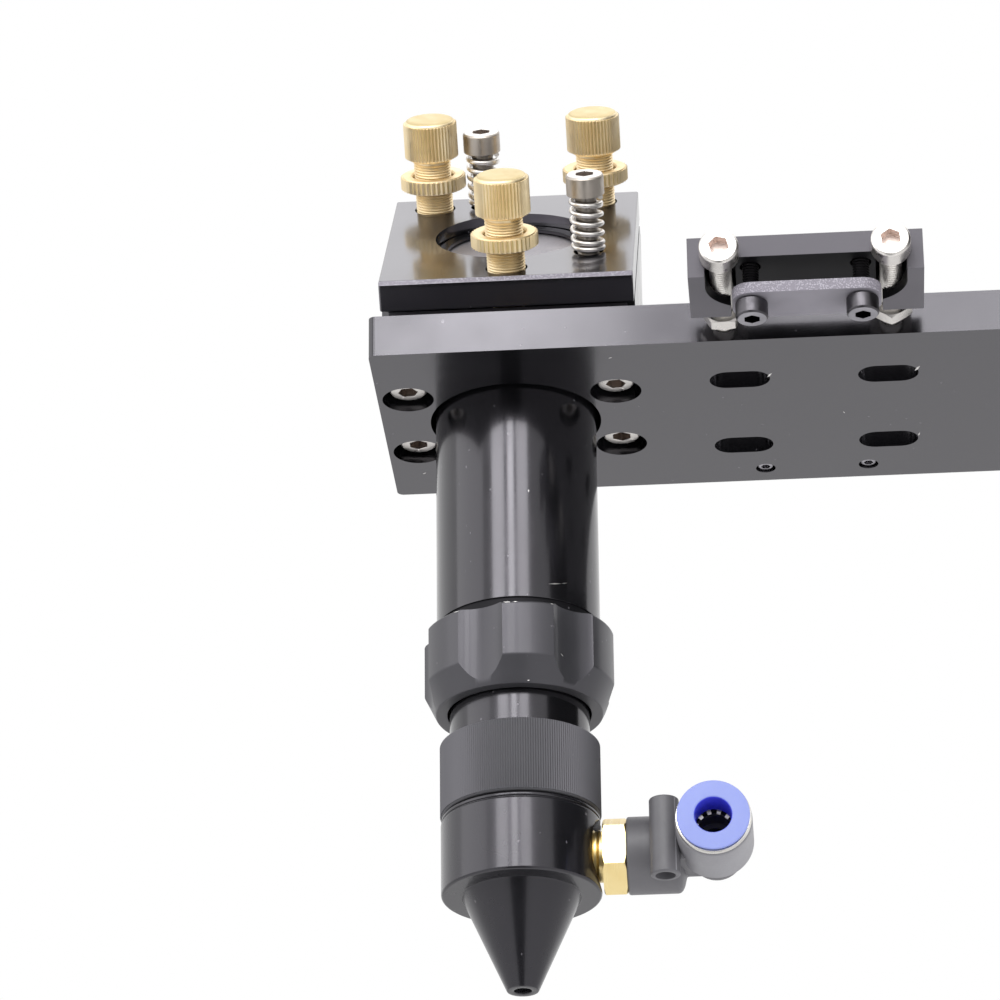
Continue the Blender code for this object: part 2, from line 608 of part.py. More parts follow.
def make_mirror_plate(slope):
    """The tilting plate with its mirror and retaining ring, on the line through the two back tips."""
    pivot_y = MIRROR_PLATE_LENGTH - THUMB_BACK_FROM_END
    pivot = frame("plate_pivot", (0, pivot_y, -MIRROR_PLATE_GAP), parent=slope)
    to_slope = (0, -pivot_y, MIRROR_PLATE_GAP)
    half, thick = MIRROR_PLATE_WIDTH / 2, MIRROR_PLATE_THICKNESS
    body = box("mirror_plate", (-half, 0, 0), (half, MIRROR_PLATE_LENGTH, thick), "black_anodised",
               parent=pivot, at=to_slope)
    bevel(body, MIRROR_PLATE_EDGE)
    centre = (0, MIRROR_PLATE_LENGTH / 2 + MIRROR_PAST_MIDDLE, 0)
    low = MIRROR_LIP + SEAT_GAP
    high = low + MIRROR_THICKNESS
    opening = MIRROR_RADIUS - MIRROR_LIP_WIDTH
    thread = MIRROR_RADIUS + MIRROR_THREAD_WIDTH
    cut(body, cylinder("mirror_thread", thread, high, 2 * thick, parent=body, at=centre))
    cut(body, cylinder("mirror_seat", MIRROR_RADIUS + RUN_GAP, MIRROR_LIP, thick, parent=body, at=centre))
    cut(body, cylinder("mirror_opening", opening, -thick, 2 * thick, parent=body, at=centre))
    for name, (x, y) in thumb_places().items():
        cut(body, cylinder("thumb_thread_" + name, THUMB_THREAD_RADIUS + THREAD_GAP, -thick, 2 * thick,
                           sides=SMALL_ROUND, parent=body, at=(x, y, 0)))
    for name, (x, y) in spring_places().items():
        cut(body, cylinder("spring_hole_" + name, M4_RADIUS + SPRING_HOLE_GAP, -thick, 2 * thick,
                           sides=SMALL_ROUND, parent=body, at=(x, y, 0)))
    glass = Vector(to_slope) + Vector(centre)
    cylinder("mirror", MIRROR_RADIUS, low, high, "mirror", parent=pivot, at=glass)
    outer, base = thread - THREAD_GAP, high + SEAT_GAP
    crown = base + MIRROR_RING_HEIGHT
    inner = outer - MIRROR_RING_WIDTH
    ring = turned("mirror_ring", [(outer, crown), (outer, base), (inner, base), (inner, crown)],
                  "black_anodised", ring=True, parent=pivot, at=glass)
    slot = MIRROR_RING_SLOT / 2
    cut(ring, box("mirror_ring_slots", (-slot, -2 * outer, crown - MIRROR_RING_SLOT_DEPTH),
                  (slot, 2 * outer, 2 * crown), parent=ring))


def make_thumb_screws(slope):
    """Three knurled thumb screws with knurled lock nuts, screwed down through the plate."""
    face = MIRROR_PLATE_THICKNESS
    tip = -MIRROR_PLATE_GAP + SEAT_GAP
    start = face + THUMB_HEAD_START
    top = start + THUMB_HEAD_LENGTH
    r, thread, dome = THUMB_HEAD_RADIUS, THUMB_THREAD_RADIUS, THUMB_HEAD_DOME
    screw = [(0, top), (r - 2 * dome, top), (r - dome / 2, top - dome / 2), (r, top - dome), (r, start + dome),
             (r - dome, start), (thread, start), (thread, tip + THUMB_TIP), (thread - THUMB_TIP, tip), (0, tip)]
    low = face + LOCK_NUT_START
    high = low + LOCK_NUT_HEIGHT
    edge, bore = LOCK_NUT_EDGE, thread + THREAD_GAP
    nut = [(LOCK_NUT_RADIUS - edge, high), (LOCK_NUT_RADIUS, high - edge), (LOCK_NUT_RADIUS, low + edge),
           (LOCK_NUT_RADIUS - edge, low), (bore, low), (bore, high)]
    for name, (x, y) in thumb_places().items():
        turned("thumb_screw_" + name, screw, "pale_brass", sides=SMALL_ROUND, parent=slope, at=(x, y, 0))
        turned("lock_nut_" + name, nut, "pale_brass", sides=SMALL_ROUND, ring=True, parent=slope, at=(x, y, 0))


def spring_coil(name, radius, wire, turns, length, **place):
    """A helix of round wire; its first and last half turns lie flat."""
    count = int(turns * SPRING_STEPS)
    rise = length - wire
    points = []
    for i in range(count + 1):
        angle = 2 * pi * i / SPRING_STEPS
        share = (i / count * turns - 0.5) / (turns - 1)
        height = wire / 2 + rise * min(1, max(0, share))
        points.append(((radius - wire / 2) * cos(angle), (radius - wire / 2) * sin(angle), height))
    curve = bpy.data.curves.new(name, "CURVE")
    curve.dimensions = "3D"
    curve.bevel_depth = wire / 2
    curve.bevel_resolution = 1
    curve.use_fill_caps = True
    line = curve.splines.new("POLY")
    line.points.add(len(points) - 1)
    for point, place_at in zip(line.points, points):
        point.co = (*place_at, 1)
    return from_curve(name, curve, "stainless", **place)


def make_spring_screws(slope):
    """Two socket screws into the block; a spring under each head pulls the plate down."""
    face = MIRROR_PLATE_THICKNESS
    under_head = face + SPRING_LENGTH + 2 * SEAT_GAP
    length = under_head + MIRROR_PLATE_GAP + SPRING_SCREW_BITE
    for name, (x, y) in spring_places().items():
        socket_screw("spring_screw_" + name, M4_RADIUS, length, M4_HEAD, "stainless", parent=slope,
                     at=(x, y, under_head + M4_HEAD_HEIGHT))
        spring_coil("plate_spring_" + name, SPRING_RADIUS, SPRING_WIRE, SPRING_TURNS, SPRING_LENGTH,
                    parent=slope, at=(x, y, face + SEAT_GAP))


def make_tube(axis):
    """The fixed tube, screwed into the block, with a thread for the collar at its lower end."""
    inner = TUBE_RADIUS - TUBE_WALL
    top = BAR_THICKNESS + TUBE_IN_BLOCK
    end = -TUBE_LENGTH
    thread = end + TUBE_THREAD_LENGTH
    profile = [(TUBE_RADIUS, top), (TUBE_RADIUS, thread), (TUBE_THREAD_RADIUS, thread), (TUBE_THREAD_RADIUS, end),
               (inner, end), (inner, top)]
    turned("outer_tube", profile, "black_anodised", ring=True, parent=axis)


def make_collar(axis):
    """The fluted lock collar that clamps the inner tube."""
    thread = TUBE_THREAD_RADIUS + THREAD_GAP
    lip = INNER_TUBE_RADIUS + RUN_GAP
    ledge = COLLAR_BOTTOM + COLLAR_LIP
    profile = [(COLLAR_RADIUS - COLLAR_EDGE, COLLAR_TOP), (COLLAR_RADIUS, COLLAR_TOP - COLLAR_EDGE),
               (COLLAR_RADIUS, COLLAR_BOTTOM + COLLAR_TAPER_HEIGHT), (COLLAR_END_RADIUS, COLLAR_BOTTOM),
               (lip, COLLAR_BOTTOM), (lip, ledge), (thread, ledge), (thread, COLLAR_TOP)]
    collar = turned("lock_collar", profile, "black_anodised", sides=COLLAR_SIDES, ring=True, parent=axis)
    centre = COLLAR_RADIUS - COLLAR_FLUTE_DEPTH + COLLAR_FLUTE_RADIUS
    for i in range(COLLAR_FLUTES):
        turn = 2 * pi * i / COLLAR_FLUTES + COLLAR_TURN
        cut(collar, cylinder("collar_flute_%d" % (i + 1), COLLAR_FLUTE_RADIUS, 2 * COLLAR_BOTTOM, 0, parent=axis,
                             at=(centre * cos(turn), centre * sin(turn), 0)))


def make_inner_tube(axis):
    radius = INNER_TUBE_RADIUS
    bore = radius - INNER_TUBE_WALL
    top, bottom = INNER_TUBE_IN_TUBE - TUBE_LENGTH, CELL_TOP - INNER_TUBE_IN_CELL
    profile = [(radius, top), (radius, bottom), (bore, bottom), (bore, top)]
    turned("inner_tube", profile, "black_anodised", ring=True, parent=axis)


def web_bottom():
    return CELL_TOP - INNER_TUBE_IN_CELL - SEAT_GAP - CELL_WEB


def lens_top():
    return web_bottom() - SEAT_GAP - 2 * LENS_SEAL_WIRE - SEAT_GAP


def retainer_top():
    return lens_top() - LENS_EDGE - LENS_CROWN - SEAT_GAP


def make_lens_cell(axis):
    """The knurled cell with the lens and the ring that holds it up against the web."""
    e = CELL_EDGE
    tube_bore = INNER_TUBE_RADIUS + THREAD_GAP
    web_low = web_bottom()
    web_top = web_low + CELL_WEB
    seat = LENS_RADIUS + RUN_GAP
    web = LENS_RADIUS - CELL_WEB_LIP
    seat_low = retainer_top() - RETAINER_HEIGHT
    thread = NOZZLE_THREAD_RADIUS + THREAD_GAP
    profile = [(CELL_RADIUS - e, CELL_TOP), (CELL_RADIUS, CELL_TOP - e), (CELL_RADIUS, CELL_BOTTOM + e),
               (CELL_RADIUS - e, CELL_BOTTOM), (thread, CELL_BOTTOM), (thread, seat_low), (seat, seat_low),
               (seat, web_low), (web, web_low), (web, web_top), (tube_bore, web_top),
               (tube_bore, CELL_TOP)]
    turned("lens_cell", profile, "black_anodised", ring=True, parent=axis)
    top, crown = lens_top(), lens_top() - LENS_EDGE - LENS_CROWN
    shares = [1 - i / LENS_STEPS for i in range(LENS_STEPS + 1)]
    lens = [(0, top), (LENS_RADIUS, top)] + [(LENS_RADIUS * s, crown + LENS_CROWN * s * s) for s in shares]
    turned("focus_lens", lens, "lens", parent=axis)
    torus("lens_seal", LENS_RADIUS - LENS_SEAL_WIRE, LENS_SEAL_WIRE, web_low - SEAT_GAP - LENS_SEAL_WIRE,
          parent=axis)
    high = retainer_top()
    low = high - RETAINER_HEIGHT
    bore = LENS_RADIUS - RETAINER_WIDTH
    ring = [(LENS_RADIUS, high), (LENS_RADIUS, low), (bore, low), (bore, high)]
    turned("lens_retainer", ring, "black_anodised", ring=True, parent=axis)


def make_nozzle(axis):
    """Body and cone in one piece, bored to a fine hole, with a spot face and a port for the gas fitting."""
    e = NOZZLE_EDGE
    high = retainer_top() - RETAINER_HEIGHT - SEAT_GAP
    profile = [(NOZZLE_THREAD_RADIUS, high), (NOZZLE_THREAD_RADIUS, NOZZLE_TOP), (NOZZLE_RADIUS - e, NOZZLE_TOP),
               (NOZZLE_RADIUS, NOZZLE_TOP - e), (NOZZLE_RADIUS, NOZZLE_SHOULDER + e),
               (NOZZLE_RADIUS - e, NOZZLE_SHOULDER), (NOZZLE_CONE_RADIUS, NOZZLE_SHOULDER),
               (NOZZLE_TIP_RADIUS, NOZZLE_TIP), (NOZZLE_HOLE_RADIUS, NOZZLE_TIP),
               (NOZZLE_HOLE_RADIUS, NOZZLE_TIP + 2 * NOZZLE_HOLE_RADIUS),
               (NOZZLE_BORE, NOZZLE_SHOULDER + NOZZLE_BORE_TO_SHOULDER), (NOZZLE_BORE, high)]
    nozzle = turned("nozzle", profile, "black_anodised", ring=True, parent=axis)
    cut(nozzle, cylinder("port_spot_face", NOZZLE_SPOT_RADIUS, NOZZLE_SPOT_FACE, 2 * NOZZLE_RADIUS,
                         parent=axis, at=(0, 0, FITTING_Z), turn=(0, pi / 2, 0)))
    cut(nozzle, cylinder("gas_port", FITTING_NECK_RADIUS + THREAD_GAP, NOZZLE_BORE / 2, 2 * NOZZLE_RADIUS,
                         sides=SMALL_ROUND, parent=axis, at=(0, 0, FITTING_Z), turn=(0, pi / 2, 0)))


def make_fitting_stem(along):
    """The brass stem: neck into the nozzle, hexagon, and the spigot that the elbow turns on."""
    bore = FITTING_BORE
    end = FITTING_HEX_END + FITTING_SPIGOT_LENGTH
    root = FITTING_HEX_END - FITTING_SPIGOT_ROOT
    profile = [(FITTING_SPIGOT_RADIUS, end), (FITTING_SPIGOT_RADIUS, root), (FITTING_NECK_RADIUS, root),
               (FITTING_NECK_RADIUS, FITTING_INNER_END), (bore, FITTING_INNER_END), (bore, end)]
    stem = turned("gas_fitting_stem", profile, "bright_brass", sides=SMALL_ROUND, ring=True, parent=along)
    corner = hexagon_radius(FITTING_HEX_FLATS)
    nut = cylinder("stem_hexagon", corner, FITTING_HEX_START, FITTING_HEX_END, sides=6, spin=pi / 6, parent=along)
    c = FITTING_HEX_CHAMFER
    inside = bore + (FITTING_SPIGOT_RADIUS - bore) / 2
    lens = [(corner - c, FITTING_HEX_END), (corner, FITTING_HEX_END - c), (corner, FITTING_HEX_START + c),
            (corner - c, FITTING_HEX_START), (inside, FITTING_HEX_START), (inside, FITTING_HEX_END)]
    rounded = turned("stem_hexagon_chamfer", lens, sides=SMALL_ROUND, ring=True, parent=along)
    boolean(nut, rounded, "INTERSECT")
    join(stem, nut)


def make_elbow(along, port):
    """The plastic elbow: round leg, narrower arm, wide port and a boss with a hole in the crook."""
    start = ELBOW_START
    end = start + ELBOW_LEG_LENGTH
    taper = end + ELBOW_LEG_TAPER
    past = PORT_CENTRE + ELBOW_ARM_PAST_PORT
    leg = [(0, past), (ELBOW_ARM_RADIUS, past), (ELBOW_ARM_RADIUS, taper), (ELBOW_LEG_RADIUS, end),
           (ELBOW_LEG_RADIUS, start + SCREW_EDGE), (ELBOW_LEG_RADIUS - SCREW_EDGE, start), (0, start)]
    elbow = turned("elbow_body", leg, "black_plastic", parent=along)
    bend = ELBOW_BEND_RADIUS
    barrel = [(0, PORT_FRONT), (PORT_RADIUS, PORT_FRONT), (PORT_RADIUS, PORT_BACK),
              (bend, PORT_BACK - PORT_BACK_TAPER)]
    barrel += [(bend * cos(a), -bend * sin(a)) for a in (0, pi / 6, pi / 3)]
    barrel += [(0, -bend)]
    join(elbow, turned("elbow_port", barrel, parent=port))
    high = BOSS_HEIGHT / 2
    boss_at = (TUBE_X + BOSS_X, -BOSS_Y, FITTING_Z)
    join(elbow, cylinder("elbow_boss", BOSS_RADIUS, -high, high, sides=SMALL_ROUND, at=boss_at))
    web = BOSS_WEB_HEIGHT / 2
    reach = PORT_CENTRE - BOSS_X - PORT_CHANNEL
    join(elbow, box("elbow_web", (-BOSS_WEB_BITE, BOSS_WEB_BITE / 2, -web), (reach, BOSS_Y - BOSS_WEB_BITE, web),
                    at=boss_at))
    cut(elbow, cylinder("elbow_boss_hole", BOSS_HOLE, -2 * high, 2 * high, sides=SMALL_ROUND, at=boss_at))
    spigot_end = ELBOW_START + FITTING_SPIGOT_LENGTH
    cut(elbow, cylinder("elbow_socket", FITTING_SPIGOT_RADIUS + RUN_GAP, 0, spigot_end, sides=SMALL_ROUND,
                        parent=along))
    cut(elbow, cylinder("elbow_leg_channel", FITTING_BORE, start, PORT_CENTRE + ELBOW_CHANNEL_PAST_PORT,
                        sides=SMALL_ROUND, parent=along))
    floor = PORT_FRONT - PORT_CAVITY_DEPTH
    cut(elbow, cylinder("elbow_cavity", PORT_CAVITY_RADIUS, floor, 2 * PORT_FRONT, parent=port, sides=SMALL_ROUND))
    cut(elbow, cylinder("elbow_tube_socket", AIR_TUBE_RADIUS + RUN_GAP, floor - AIR_TUBE_STOP, PORT_FRONT,
                        sides=SMALL_ROUND, parent=port))
    cut(elbow, cylinder("elbow_port_channel", PORT_CHANNEL, -PORT_CHANNEL, PORT_FRONT, sides=SMALL_ROUND,
                        parent=port))


def make_port_parts(port):
    """Inside the port: end ring, push collet, grab ring and seal."""
    ring_low = PORT_FRONT + SEAT_GAP
    ring_high = ring_low + PORT_RING_LENGTH
    neck = PORT_CAVITY_RADIUS - RUN_GAP
    turned("port_ring", [(PORT_RING_RADIUS, ring_high), (PORT_RING_RADIUS, ring_low), (PORT_CAVITY_RADIUS, ring_low),
                         (PORT_CAVITY_RADIUS, ring_high)], "nickel", ring=True, parent=port)
    back = ring_high + COLLET_TRAVEL + COLLET_REST_GAP
    front = back + COLLET_FLANGE
    bore = AIR_TUBE_RADIUS + COLLET_BORE_GAP
    end = front - COLLET_LENGTH
    turned("release_collet", [(COLLET_FLANGE_RADIUS, front), (COLLET_FLANGE_RADIUS, back), (neck, back), (neck, end),
                              (bore, end), (bore, front)], "blue_plastic", ring=True, parent=port)
    grab_high = end - COLLET_TRAVEL - SEAT_GAP
    grab_low = grab_high - GRAB_RING_THICKNESS
    inner = neck - GRAB_RING_WIDTH
    turned("grab_ring", [(neck, grab_high), (neck, grab_low), (inner, grab_low), (inner, grab_high)], "stainless",
           sides=SMALL_ROUND, ring=True, parent=port)
    middle = grab_low - SEAT_GAP - SEAL_WIRE
    centre = neck - SEAL_WIRE
    torus("port_seal", centre, SEAL_WIRE, middle, parent=port)


def clamp_x(side):
    return CLAMP_OFFSET + side * CLAMP_M4_SPACING / 2


def make_belt_clamp():
    """The clamp block on its two M4 screws, and the toothed jaw that two M3 screws draw up to it."""
    rear = BAR_FRONT - CLAMP_STANDOFF
    front = rear - CLAMP_DEPTH
    half = CLAMP_WIDTH / 2
    low, high = 0, CLAMP_HEIGHT
    slide = frame("belt_clamp_slide", (CLAMP_OFFSET, rear, BAR_MIDDLE))
    to_world = (0, -rear, -BAR_MIDDLE)
    block = box("belt_clamp_block", (-half, front, low), (half, rear, high), "black_anodised", parent=slide,
                at=to_world)
    bevel(block, CLAMP_EDGE)
    gap = BELT_GAP_WIDTH / 2
    cut(block, box("belt_gap", (-gap, 2 * front, low - CLAMP_HEIGHT), (gap, 0, high - CLAMP_BEAM), parent=block))
    corner = CLAMP_POCKET_CORNER
    outer = CLAMP_M4_SPACING / 2 + CLAMP_POCKET_SIDE
    inner = gap - CLAMP_POCKET_OVERLAP
    sweep = acos((inner - outer + corner) / corner)
    curve = arc((outer - corner, rear - CLAMP_POCKET_WALL - corner), corner, 0, sweep, 8)
    for side, name in ((-1, "left"), (1, "right")):
        x = side * CLAMP_M4_SPACING / 2
        outline = [(side * a, b) for a, b in [(inner, 2 * front), (outer, 2 * front)] + curve]
        cut(block, plate("clamp_pocket_" + name, outline, low - CLAMP_HEIGHT, high - CLAMP_POCKET_ROOF, parent=block))
        cut(block, cylinder("clamp_bore_" + name, M4_RADIUS + RUN_GAP, 0, 2 * CLAMP_WIDTH, sides=SMALL_ROUND,
                            parent=block, at=(x, 0, BAR_MIDDLE), turn=(pi / 2, 0, 0)))
        make_clamp_screw(name, side, front)
        make_clamp_nut(name, side)
    make_jaw(slide, to_world, block, front, low, high)


def make_clamp_screw(name, side, front):
    """An M4 screw through the clamp into the bar's edge."""
    head_face = front - SEAT_GAP - M4_HEAD_HEIGHT
    length = CLAMP_DEPTH + SEAT_GAP + CLAMP_STANDOFF + CLAMP_M4_BITE
    socket_screw("clamp_screw_" + name, M4_RADIUS, length, M4_HEAD, "stainless",
                 at=(clamp_x(side), head_face, BAR_MIDDLE), turn=(pi / 2, 0, 0))


def make_clamp_nut(name, side):
    """A lock nut on the screw, between the bar and the clamp; the left one rests a flat downwards."""
    low, high = CLAMP_NUT_STANDOFF, CLAMP_NUT_STANDOFF + M4_NUT_HEIGHT
    spin = pi / 6 if side < 0 else 0
    nut = cylinder("clamp_nut_" + name, hexagon_radius(M4_NUT_FLATS), low, high, "stainless", sides=6, spin=spin,
                   at=(clamp_x(side), BAR_FRONT, BAR_MIDDLE), turn=(pi / 2, 0, 0))
    cut(nut, cylinder("clamp_nut_thread_" + name, M4_RADIUS + THREAD_GAP, 0, 2 * high, sides=SMALL_ROUND, parent=nut))


def make_jaw(slide, to_world, block, front, low, high):
    """The lower jaw with its belt teeth, and its two black screws from below."""
    reach = CLAMP_M3_SPACING / 2 + JAW_END
    jaw_front = front + JAW_INSET
    top = low - JAW_DROP
    outline = rounded_rectangle((-reach, jaw_front), (reach, jaw_front + JAW_DEPTH), JAW_END)
    jaw = plate("belt_clamp_jaw", outline, top - JAW_THICKNESS, top, "black_anodised", parent=slide, at=to_world)
    tooth = JAW_TOOTH_PITCH / 2
    for i in range(int(JAW_DEPTH / JAW_TOOTH_PITCH)):
        y = jaw_front + tooth + i * JAW_TOOTH_PITCH
        cut(jaw, box("jaw_groove_%d" % (i + 1), (-JAW_TOOTH_LENGTH / 2, y, top - JAW_TOOTH_DEPTH),
                     (JAW_TOOTH_LENGTH / 2, y + tooth, high), parent=jaw))
    screw_y = front + CLAMP_M3_FROM_FRONT
    under = top - JAW_THICKNESS - SEAT_GAP
    length = high - under - SEAT_GAP
    for side, name in ((-1, "left"), (1, "right")):
        x = side * CLAMP_M3_SPACING / 2
        hole = M3_RADIUS + THREAD_GAP
        cut(jaw, cylinder("jaw_hole_" + name, hole, low - 2 * CLAMP_HEIGHT, high, sides=SMALL_ROUND, parent=jaw,
                          at=(x, screw_y, 0)))
        cut(block, cylinder("beam_hole_" + name, hole, low, 2 * CLAMP_HEIGHT, sides=SMALL_ROUND, parent=block,
                            at=(x, screw_y, 0)))
        socket_screw("jaw_screw_" + name, M3_RADIUS, length, M3_HEAD, "black_steel", parent=slide,
                     at=Vector(to_world) + Vector((x, screw_y, under - M3_HEAD_HEIGHT)), turn=(pi, 0, 0))


def main():
    make_bar()
    make_bar_screws()
    slope = make_slope_frame()
    make_mirror_block(slope)
    make_mirror_plate(slope)
    make_thumb_screws(slope)
    make_spring_screws(slope)
    axis = frame("tube_axis", (TUBE_X, 0, 0))
    make_tube(axis)
    make_collar(axis)
    make_inner_tube(axis)
    make_lens_cell(axis)
    make_nozzle(axis)
    along = frame("fitting_axis", (TUBE_X, 0, FITTING_Z), (0, pi / 2, 0))
    make_fitting_stem(along)
    port = frame("port_axis", (TUBE_X + PORT_CENTRE, 0, FITTING_Z), (pi / 2, 0, 0))
    make_elbow(along, port)
    make_port_parts(port)
    make_belt_clamp()


main()
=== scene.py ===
# Laser cutting head: smooth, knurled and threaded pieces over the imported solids
from math import cos, hypot, pi, radians, sin, sqrt

import bmesh
import bpy
from mathutils import Matrix, Vector


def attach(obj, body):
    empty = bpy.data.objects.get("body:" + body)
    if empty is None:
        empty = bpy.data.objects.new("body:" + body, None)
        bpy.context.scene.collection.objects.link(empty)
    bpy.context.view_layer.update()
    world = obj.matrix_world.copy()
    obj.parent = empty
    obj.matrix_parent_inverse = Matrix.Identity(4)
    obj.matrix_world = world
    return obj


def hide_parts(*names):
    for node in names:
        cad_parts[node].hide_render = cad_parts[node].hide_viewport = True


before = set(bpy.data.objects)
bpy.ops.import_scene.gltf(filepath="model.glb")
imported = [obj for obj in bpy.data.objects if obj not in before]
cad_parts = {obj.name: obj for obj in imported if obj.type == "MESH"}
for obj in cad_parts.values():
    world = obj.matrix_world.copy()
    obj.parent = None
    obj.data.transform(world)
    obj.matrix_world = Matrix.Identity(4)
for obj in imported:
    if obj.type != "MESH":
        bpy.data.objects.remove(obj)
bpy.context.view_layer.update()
mm = 0.001
tubeX = -52.25
gasZ = -82.0
portX = tubeX + 32.75

scene = bpy.context.scene
work = bpy.data.collections.new("work")
scene.collection.children.link(work)


def shift(x, y, z):  # millimetres
    return Matrix.Translation((x * mm, y * mm, z * mm))


def rotate(degrees, axis):
    return Matrix.Rotation(radians(degrees), 4, axis)


toTube = shift(tubeX, 0, 0)
toGas = shift(tubeX, 0, gasZ) @ rotate(90, "Y")
toPort = shift(portX, 0, gasZ) @ rotate(90, "X")


# Colours and shader helpers
def linear(code):  # sRGB hex to linear RGBA
    parts = [int(code[i:i + 2], 16) / 255 for i in (1, 3, 5)]
    return (*[c / 12.92 if c <= 0.04045 else ((c + 0.055) / 1.055) ** 2.4 for c in parts], 1.0)


def add(tree, kind, settings=None, links=None):  # links: an input's name or number to a value or an output
    made = tree.nodes.new(kind)
    for key, value in (settings or {}).items():
        setattr(made, key, value)
    for key, value in (links or {}).items():
        if isinstance(value, bpy.types.NodeSocket):
            tree.links.new(value, made.inputs[key])
        else:
            made.inputs[key].default_value = value
    return made


def blank(name, **values):  # one Principled shader, values are its constant sockets
    made = bpy.data.materials.new(name)
    made.use_nodes = True
    tree = made.node_tree
    shader = tree.nodes["Principled BSDF"]
    for key, value in values.items():
        shader.inputs[key.replace("_", " ")].default_value = value
    return made, tree, shader


def pattern(tree, perMetre, detail=3, stretch=(1, 1, 1)):  # noise on the piece's own coordinates
    place = add(tree, "ShaderNodeTexCoord").outputs["Object"]
    placed = add(tree, "ShaderNodeMapping", links={"Vector": place, "Scale": stretch}).outputs[0]
    return add(tree, "ShaderNodeTexNoise", links={
        "Vector": placed, "Scale": perMetre, "Detail": detail, "Roughness": 0.55}).outputs["Fac"]


def tint(tree, factor, dark, light):  # dark to light while the noise goes from 0.3 to 0.7
    share = add(tree, "ShaderNodeMapRange", links={"Value": factor, "From Min": 0.3, "From Max": 0.7}).outputs[0]
    return add(tree, "ShaderNodeMix", {"data_type": "RGBA"}, {0: share, 6: linear(dark), 7: linear(light)}).outputs[2]


def uneven(tree, shader, factor, low, high, strength):  # one pattern drives both the polish and the relief
    polish = add(tree, "ShaderNodeMapRange", links={
        "Value": factor, "From Min": 0.3, "From Max": 0.7, "To Min": low, "To Max": high})
    relief = add(tree, "ShaderNodeBump", links={"Height": factor, "Strength": strength, "Distance": 0.02 * mm})
    tree.links.new(polish.outputs[0], shader.inputs["Roughness"])
    tree.links.new(relief.outputs["Normal"], shader.inputs["Normal"])


# Materials; a pattern of 1000 per metre has features 1 mm wide
# Aluminium, machined and dyed black: a thin clear oxide over a near-black dye gives a dark, clear sheen. Tool marks
# 0.1 mm apart on turned faces and 0.17 mm on milled ones, a grain of 0.4 mm and dust specks of 1.1 mm, all drawn
# coarser than they are so that they show
def blackAnodised(name, turned=False, base="#0c0c0e", light="#121214", rough=0.17, grain=1.0, clear=0.25, ior=1.62,
                  fleck="#5a585c", fleckScale=900, fleckFrom=0.765):
    made, tree, shader = blank(name, Metallic=0.0, IOR=ior, Coat_Weight=clear, Coat_Roughness=0.08,
                               Specular_Tint=linear("#f4f0fb"))
    fine = pattern(tree, 2600, 2)
    wide = pattern(tree, 55, 4)  # dye and polish drift over 18 mm
    tool = pattern(tree, 1.0, 2, (40, 40, 9000) if turned else (300, 6000, 300))
    dust = pattern(tree, fleckScale, 1)
    specks = add(tree, "ShaderNodeMapRange", links={
        "Value": dust, "From Min": fleckFrom, "From Max": fleckFrom + 0.025}).outputs[0]
    colour = add(tree, "ShaderNodeMix", {"data_type": "RGBA"}, {
        0: specks, 6: tint(tree, wide, base, light), 7: linear(fleck)})
    polish = add(tree, "ShaderNodeMapRange", links={
        "Value": wide, "From Min": 0.3, "From Max": 0.7, "To Min": rough - 0.05, "To Max": rough + 0.07})
    marks = add(tree, "ShaderNodeBump", links={"Height": tool, "Strength": 0.18 * grain, "Distance": 0.01 * mm})
    relief = add(tree, "ShaderNodeBump", links={
        "Height": fine, "Strength": 0.16 * grain, "Distance": 0.008 * mm, "Normal": marks.outputs[0]})
    tree.links.new(colour.outputs[2], shader.inputs["Base Color"])
    tree.links.new(polish.outputs[0], shader.inputs["Roughness"])
    tree.links.new(relief.outputs[0], shader.inputs["Normal"])
    return made


# Bare metal: colour drifts over 6 mm, machining lines run along one direction and make the polish uneven
def metal(name, light, dark, rough, strength, *lines):  # lines per metre along x, y and z
    made, tree, shader = blank(name, Metallic=1.0)
    tree.links.new(tint(tree, pattern(tree, 160), dark, light), shader.inputs["Base Color"])
    uneven(tree, shader, pattern(tree, 1.0, 2, lines), rough - 0.07, rough + 0.09, strength)
    return made


# Moulded resin: even colour with the 0.3 mm grain of an eroded mould
def plastic(name, light, dark, rough, grain, **values):
    made, tree, shader = blank(name, Metallic=0.0, **values)
    tree.links.new(tint(tree, pattern(tree, 120), dark, light), shader.inputs["Base Color"])
    uneven(tree, shader, pattern(tree, 3200), rough - 0.05, rough + 0.08, grain)
    return made


def optic(name, perMetre, detail, dark, light, **values):  # a polished face with a faint, even haze
    made, tree, shader = blank(name, **values)
    tree.links.new(tint(tree, pattern(tree, perMetre, detail), dark, light), shader.inputs["Base Color"])
    return made


anodisedFlat = blackAnodised("black_anodised_milled")  # near black, with a clear sheen
anodisedTurned = blackAnodised("black_anodised_turned", turned=True)  # the same, streaked round the axis
anodisedNozzle = blackAnodised("black_anodised_brushed", turned=True, base="#131316", light="#19191c", rough=0.27,
                               grain=1.5)  # a broader, softer streak
anodisedCut = blackAnodised("black_anodised_fly_cut", ior=1.95)  # mirrors the table a little more
anodisedPlate = blackAnodised("black_anodised_polished", rough=0.15, ior=2.3)  # shows the screws on it like a mirror
anodisedSoft = blackAnodised("black_anodised_satin", turned=True, base="#303033", light="#39393c", rough=0.36,
                             clear=0.1)  # dark grey, with soft highlights
anodisedKnurl = blackAnodised("black_anodised_knurled", base="#48484b", light="#545457", rough=0.5, grain=0.5,
                              clear=0.0)  # grey and matt, since the ribs scatter the light
anodisedDull = blackAnodised("black_anodised_blasted", base="#4e4c51", light="#5e5c61", rough=0.5, grain=2.2,
                             clear=0.0, ior=1.55)  # an even, powdery grey
